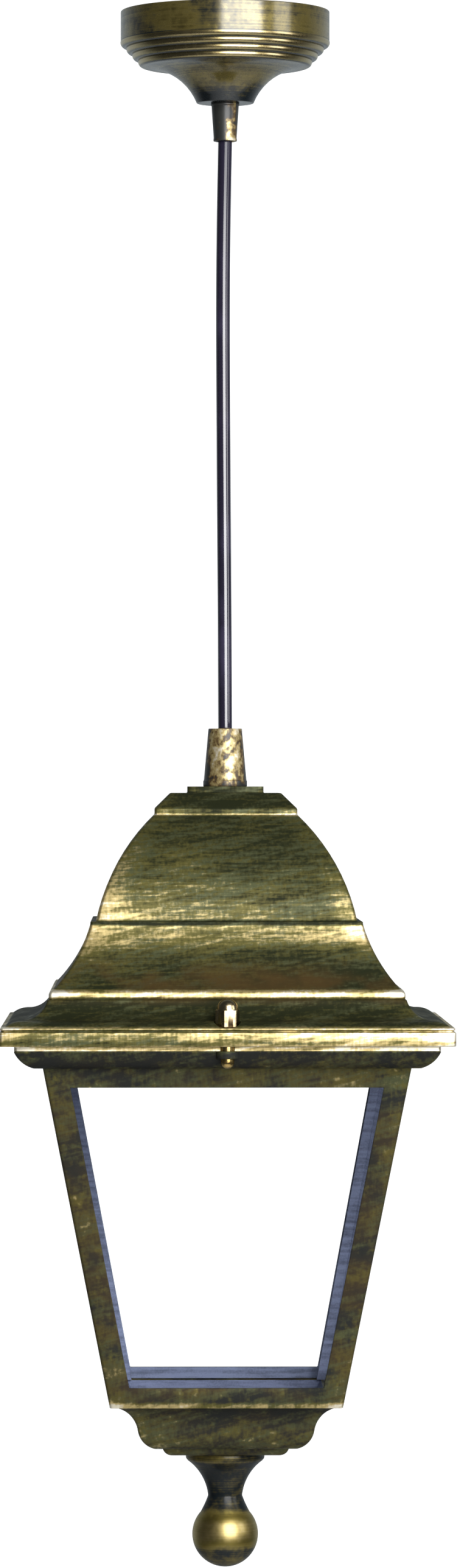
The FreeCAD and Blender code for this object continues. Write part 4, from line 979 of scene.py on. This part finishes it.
class LAMP_OT_acorn_nuts(bpy.types.Operator):
    """Builds the two acorn nuts on the eave and the round-ended studs under it"""
    bl_idname = "lamp.acorn_nuts"
    bl_label = "Acorn nuts"

    def execute(self, context):
        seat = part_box("acorn_nuts")[0][2]
        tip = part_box("roof_studs")[0][2]
        shade = metal("nut_brass", colour=(0.62, 0.5, 0.3), shade=(0.2, 0.13, 0.07), roughness=0.24,
                      grain_stretch=(500, 500, 500))
        sides = (("front", -1, ["acorn_nuts"], ["roof_studs"]), ("back", 1, [], []))
        for name, side, nut_nodes, stud_nodes in sides:
            spot = (0.0, side * STUD_OFFSET * MM)
            nut = place(f"{name}_acorn_nut", self.nut(seat, spot))
            stud = place(f"{name}_stud", self.stud(seat, tip, spot))
            dress(nut, "lantern", "brass", shade, stands_for=nut_nodes)
            dress(stud, "lantern", "brass", finish("brass"), stands_for=stud_nodes)
        return {"FINISHED"}

    def nut(self, seat, spot, segments=72):
        """A chamfered hexagon under a dome on a short collar."""
        corner = NUT_FLATS * MM / math.sqrt(3)
        flat = NUT_FLATS * MM / 2
        hex_top = seat + NUT_HEX_HEIGHT * MM
        chamfer = (corner - flat) * math.tan(math.radians(30))
        foot = flat - NUT_FOOT_INSET * MM
        levels = ((foot, seat), (corner, seat + chamfer), (corner, hex_top - chamfer), (flat, hex_top))
        rings = []
        for reach, z in levels:
            ring = []
            for i in range(segments):
                angle = math.tau * i / segments
                away = (angle - NUT_TURN + math.pi / 6) % (math.pi / 3) - math.pi / 6
                radius = min(reach, flat / math.cos(away))
                x, y = radius * math.cos(angle), radius * math.sin(angle)
                ring.append(Vector((spot[0] + x, spot[1] + y, z)))
            rings.append(ring)
        dome = NUT_DOME * MM
        rings.append(round_ring(dome * 1.02, hex_top, segments, spot))
        for angle in range(0, 85, 12):
            t = math.radians(angle)
            rings.append(round_ring(dome * math.cos(t), hex_top + dome * math.sin(t), segments, spot))
        return new_mesh("acorn_nut", *join_rings(rings, capped=True), sharp=25)

    def stud(self, seat, tip, spot, segments=32):
        """A round-ended stud."""
        radius = STUD_RADIUS * MM
        rings = []
        for angle in range(84, -1, -14):
            t = math.radians(angle)
            z = tip + radius - radius * math.sin(t)
            rings.append(round_ring(radius * math.cos(t), z, segments, spot))
        rings.append(round_ring(radius, seat - STUD_CLEARANCE * MM, segments, spot))
        return new_mesh("stud", *join_rings(rings, capped=True))


class LAMP_OT_lantern_body(bpy.types.Operator):
    """Builds the tapered body with its four windows, stepped base, stud lugs and corner posts"""
    bl_idname = "lamp.lantern_body"
    bl_label = "Lantern body"
    cells = 6

    def execute(self, context):
        top = box_top("lantern_body")
        body = place("lantern_frame", self.shell(top))
        gold = antique_gold(
            "body_gold", colours().soot, top, BODY_GILT, BODY_CAST, BODY_SIDE_GOLD_AND_LIGHT, streaks=(130, 130, 170),
            patches=0.9, specks=0.2)
        dress(body, "lantern", "antique_plastic", gold, finish("slate_plastic"), stands_for=["lantern_body"])
        for face in body.data.polygons:
            if self.is_inside(face, top):
                face.material_index = 1
        posts = place("corner_posts", self.posts(top))
        dress(posts, "lantern", "antique_plastic", finish("slate_plastic"))
        return {"FINISHED"}

    def wall(self, drop):
        """The frame's outer half width at a drop below the body's top, in metres."""
        share = (drop - FRAME_TOP_DROP) / (FRAME_FOOT_DROP - FRAME_TOP_DROP)
        return (FRAME_TOP + (FRAME_FOOT - FRAME_TOP) * share) * MM

    def is_inside(self, face, top):
        """Whether a face lies on the inner side of the shell: on its walls, or on its floor, looking up."""
        drop = (top - face.center.z) / MM
        half = max(abs(face.center.x), abs(face.center.y))
        if drop < LEDGE_DROP - 0.1:
            return half < self.wall(drop) - BODY_WALL * MM + BODY_SKIN
        return half < FLOOR_HALF * MM and face.normal.z > 0.05

    def shell(self, top):
        """The moulded shell: an outer and an inner skin, open at the windows."""
        hip, stile, wall = sizes().hip, STILE * MM, BODY_WALL * MM
        crown = outline(CROWN_OUTLINE, top)
        base = outline(BASE_OUTLINE, top)
        frame_line = [Vector((self.wall(d), top - d * MM)) for d in
                      (FRAME_TOP_DROP, WINDOW_TOP_DROP, WINDOW_FOOT_DROP, FRAME_FOOT_DROP)]
        outer = crown + frame_line + base
        window_row = len(crown) + 1
        inner = [Vector((self.wall(d) - wall, top - d * MM)) for d in
                 (0.0, WINDOW_TOP_DROP, WINDOW_FOOT_DROP, LEDGE_DROP)]
        inner.append(Vector((inner[-1].x - LEDGE_WIDTH * MM, inner[-1].y)))
        inner += [Vector((x * MM, top - d * MM)) for x, d in BASE_INSIDE]
        outer_rings = [square_ring(p.x, p.y, hip, stile, self.cells) for p in outer]
        inner_rings = [square_ring(p.x, p.y, 0.4 * hip, stile - wall, self.cells) for p in inner]
        floor_hole = round_like(inner_rings[-1], FLOOR_HOLE * MM, inner[-1].y)
        foot_hole = round_like(inner_rings[-1], FLOOR_HOLE * MM, outer[-1].y)
        rings = outer_rings + [foot_hole, floor_hole] + inner_rings[::-1]
        points, faces = join_rings(rings, closed=True)
        faces = self.open_windows(faces, len(rings[0]), window_row, len(rings) - 3)
        shell = new_mesh("lantern_frame", points, faces)
        self.soften(shell, sizes().edge)
        lugs = [self.lug(top, side) for side in (-1, 1)]
        return merged("lantern_frame", [shell] + lugs)

    def open_windows(self, faces, count, outer_row, inner_row):
        """Takes the windows' faces out of both skins and lines each opening from one skin to the other."""
        side = count // 4
        opened = []
        for face in faces:
            row, column = divmod(face[0], count)
            in_window = row in (outer_row, inner_row) and 1 <= column % side <= self.cells
            if not in_window:
                opened.append(face)
        for s in range(4):
            first = s * side + 1
            columns = range(first, first + self.cells + 1)
            loop = [outer_row * count + j for j in columns]
            loop += [(outer_row + 1) * count + j for j in reversed(columns)]
            partner = [(inner_row + 1) * count + j for j in columns]
            partner += [inner_row * count + j for j in reversed(columns)]
            for i in range(len(loop)):
                k = (i + 1) % len(loop)
                opened.append((loop[i], loop[k], partner[k], partner[i]))
        return opened

    def soften(self, mesh, width):
        """Bevels the sharp edges of the shell."""
        shaped = bmesh.new()
        shaped.from_mesh(mesh)
        sharp = [edge for edge in shaped.edges
                 if len(edge.link_faces) == 2 and edge.calc_face_angle(0.0) > SOFTENED_ANGLE]
        bmesh.ops.bevel(shaped, geom=sharp, offset=width, segments=2, profile=0.5, affect="EDGES",
                        clamp_overlap=True)
        shaped.to_mesh(mesh)
        shaped.free()

    def lug(self, top, side):
        """The round boss under the crown that a stud passes through."""
        bore = STUD_RADIUS + STUD_CLEARANCE
        ring = [(bore, 0), (LUG_RADIUS, 0), (LUG_RADIUS, LUG_HEIGHT), (bore, LUG_HEIGHT)]
        return lathe("lug", outline(ring, top, sizes().edge), 40, (0.0, side * STUD_OFFSET * MM))

    def posts(self, top):
        """Four corner posts with a groove for the edge of each pane."""
        meshes = []
        for side in range(4):
            rings = []
            for drop in (POST_TOP_DROP, LEDGE_DROP):
                inner = self.wall(drop) - BODY_WALL * MM
                corner, edge = inner + POST_SINK * MM, inner - POST_EDGE * MM
                lip, tip = inner - POST_LIP * MM, inner - POST_WIDTH * MM
                ring = [(corner, corner), (edge, corner), (edge, lip), (tip, lip), (tip, tip), (lip, tip),
                        (lip, edge), (corner, edge)]
                rings.append(quarter_turned(ring, side, top - drop * MM))
            meshes.append(new_mesh("post", *join_rings(rings, capped=True)))
        return merged("corner_posts", meshes)


class LAMP_OT_finial(bpy.types.Operator):
    """Turns the finial: collar, hollow neck and ball"""
    bl_idname = "lamp.finial"
    bl_label = "Finial"

    def execute(self, context):
        top = box_top("finial")
        line = outline(FINIAL_OUTLINE, top, sizes().edge)
        centre = Vector((0.0, top - FINIAL_BALL_DROP * MM))
        start = (line[-1] - centre).angle(Vector((1, 0)))
        for i in range(1, FINIAL_BALL_STEPS):
            angle = start - (start + math.pi / 2) * i / FINIAL_BALL_STEPS
            line.append(centre + Vector((math.cos(angle), math.sin(angle))) * FINIAL_BALL_RADIUS * MM)
        tip, hole_end = FINIAL_TIP * MM, top - FINIAL_HOLE_DEPTH * MM
        line.append(centre - Vector((-tip, FINIAL_BALL_RADIUS * MM)))
        line += [Vector((tip, hole_end)), Vector((line[0].x, hole_end))]
        finial = place("ball_finial", lathe("ball_finial", line, segments=96))
        # The finial's gilt stops paint a highlight band round the ball
        lacquer = bronze_lacquer("finial_lacquer", top, FINIAL_GILT_AND_HIGHLIGHT, roughness=0.39, coat=0.12)
        dress(finial, "lantern", "bronze_metal", lacquer, stands_for=["finial"])
        return {"FINISHED"}


class LAMP_OT_lampholder(bpy.types.Operator):
    """Builds the lampholder's cap, fluted skirt and rolled thread sleeve"""
    bl_idname = "lamp.lampholder"
    bl_label = "Lampholder"

    def execute(self, context):
        edge = sizes().edge
        line = outline(HOLDER_CAP_OUTLINE, box_top("holder_cap"), edge, closed=True)
        cap = place("lampholder_cap", lathe("lampholder_cap", line, segments=72))
        dress(cap, "lantern", "black_bakelite", finish("black_bakelite"), stands_for=["holder_cap"])
        low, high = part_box("holder_skirt")
        line = outline(HOLDER_SKIRT_OUTLINE, high[2], edge, closed=True)
        fluted = (low[2] + FLUTE_FOOT * MM, high[2] - FLUTE_TOP_DROP * MM, FLUTE_CORE * MM)
        flutes = sizes().flutes
        skirt = place("lampholder_skirt", lathe(
            "lampholder_skirt", line, segments=8 * flutes, flutes=flutes, fluted=fluted))
        dress(skirt, "lantern", "black_bakelite", finish("black_bakelite"), stands_for=["holder_skirt"])
        sleeve = place("thread_sleeve", self.sleeve())
        dress(sleeve, "lantern", "brass", finish("brass"), stands_for=["holder_thread_sleeve"])
        return {"FINISHED"}

    def sleeve(self, segments=64):
        """A rolled screw shell: one wave of a helix runs round a thin tube."""
        low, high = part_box("holder_thread_sleeve")
        pitch, depth = sizes().thread_pitch, sizes().thread_depth
        outer = high[0] - depth / 2
        skins = []
        for skin in (outer, outer - SLEEVE_WALL * MM):
            rings = []
            for row in range(SLEEVE_ROWS + 1):
                z = high[2] + (low[2] - high[2]) * row / SLEEVE_ROWS
                fade = min(1.0, row / SLEEVE_FADE_ROWS, (SLEEVE_ROWS - row) / SLEEVE_FADE_ROWS)
                ring = []
                for i in range(segments):
                    turn = i / segments
                    wave = math.cos(math.tau * (z / pitch - turn)) * fade
                    radius = skin + depth / 2 * wave
                    angle = math.tau * turn
                    ring.append(Vector((radius * math.cos(angle), radius * math.sin(angle), z)))
                rings.append(ring)
            skins.append(rings)
        return new_mesh("thread_sleeve", *join_rings(skins[0] + skins[1][::-1], closed=True))


class LAMP_OT_fittings(bpy.types.Operator):
    """Finishes the fittings that keep the solid model's own form: panes, nuts, screws, leads and terminals"""
    bl_idname = "lamp.fittings"
    bl_label = "Fittings"
    finishes = {
        "clear_glass": ["front_pane", "right_pane", "back_pane", "left_pane"],
        "zinc_steel": ["ceiling_strap", "strap_nuts", "upper_nipple", "upper_grip_screw", "terminal_screws",
                       "terminal_fixing_screw", "lower_grip_screw", "lower_nipple", "roof_washer", "roof_nut",
                       "finial_screw", "finial_washer"],
        "brass": ["terminal_clamps", "holder_centre_contact", "holder_terminal_screws"],
        "white_plastic": ["terminal_block"],
        "white_ceramic": ["holder_insert"],
        "black_flex": ["upper_cord_end", "lower_cord_end"],
        "brown_lead": ["upper_live_lead", "lower_live_lead"],
        "blue_lead": ["upper_neutral_lead", "lower_neutral_lead"],
    }

    def execute(self, context):
        for name, nodes in self.finishes.items():
            for node in nodes:
                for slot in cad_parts[node].material_slots:
                    slot.material = finish(name)
        return {"FINISHED"}


class LAMP_PT_panel(bpy.types.Panel):
    """Lists the lamp's sizes, colours and pieces"""
    bl_idname = "LAMP_PT_panel"
    bl_label = "Hanging lamp"
    bl_space_type = "VIEW_3D"
    bl_region_type = "UI"
    bl_category = "Lamp"

    def draw(self, context):
        for group in (context.scene.lamp_sizes, context.scene.lamp_colours, context.scene.lamp_stage):
            for name in group.__annotations__:
                self.layout.prop(group, name)
        for operator in OPERATORS:
            self.layout.operator(operator.bl_idname)


OPERATORS = (
    LAMP_OT_stage, LAMP_OT_cord, LAMP_OT_ceiling_cup, LAMP_OT_cord_grips, LAMP_OT_roof, LAMP_OT_acorn_nuts,
    LAMP_OT_lantern_body, LAMP_OT_finial, LAMP_OT_lampholder, LAMP_OT_fittings,
)
GROUPS = {"lamp_sizes": LampSizes, "lamp_colours": LampColours, "lamp_stage": LampStage}


def register():
    for name, group in GROUPS.items():
        bpy.utils.register_class(group)
        setattr(bpy.types.Scene, name, PointerProperty(type=group))
    for operator in OPERATORS:
        bpy.utils.register_class(operator)
    bpy.utils.register_class(LAMP_PT_panel)


def unregister():
    bpy.utils.unregister_class(LAMP_PT_panel)
    for operator in reversed(OPERATORS):
        bpy.utils.unregister_class(operator)
    for name, group in GROUPS.items():
        delattr(bpy.types.Scene, name)
        bpy.utils.unregister_class(group)


def main():
    """Builds every piece in turn."""
    register()
    bpy.ops.lamp.stage()
    bpy.ops.lamp.cord()
    bpy.ops.lamp.ceiling_cup()
    bpy.ops.lamp.cord_grips()
    bpy.ops.lamp.roof()
    bpy.ops.lamp.acorn_nuts()
    bpy.ops.lamp.lantern_body()
    bpy.ops.lamp.finial()
    bpy.ops.lamp.lampholder()
    bpy.ops.lamp.fittings()


if __name__ == "__main__":
    main()
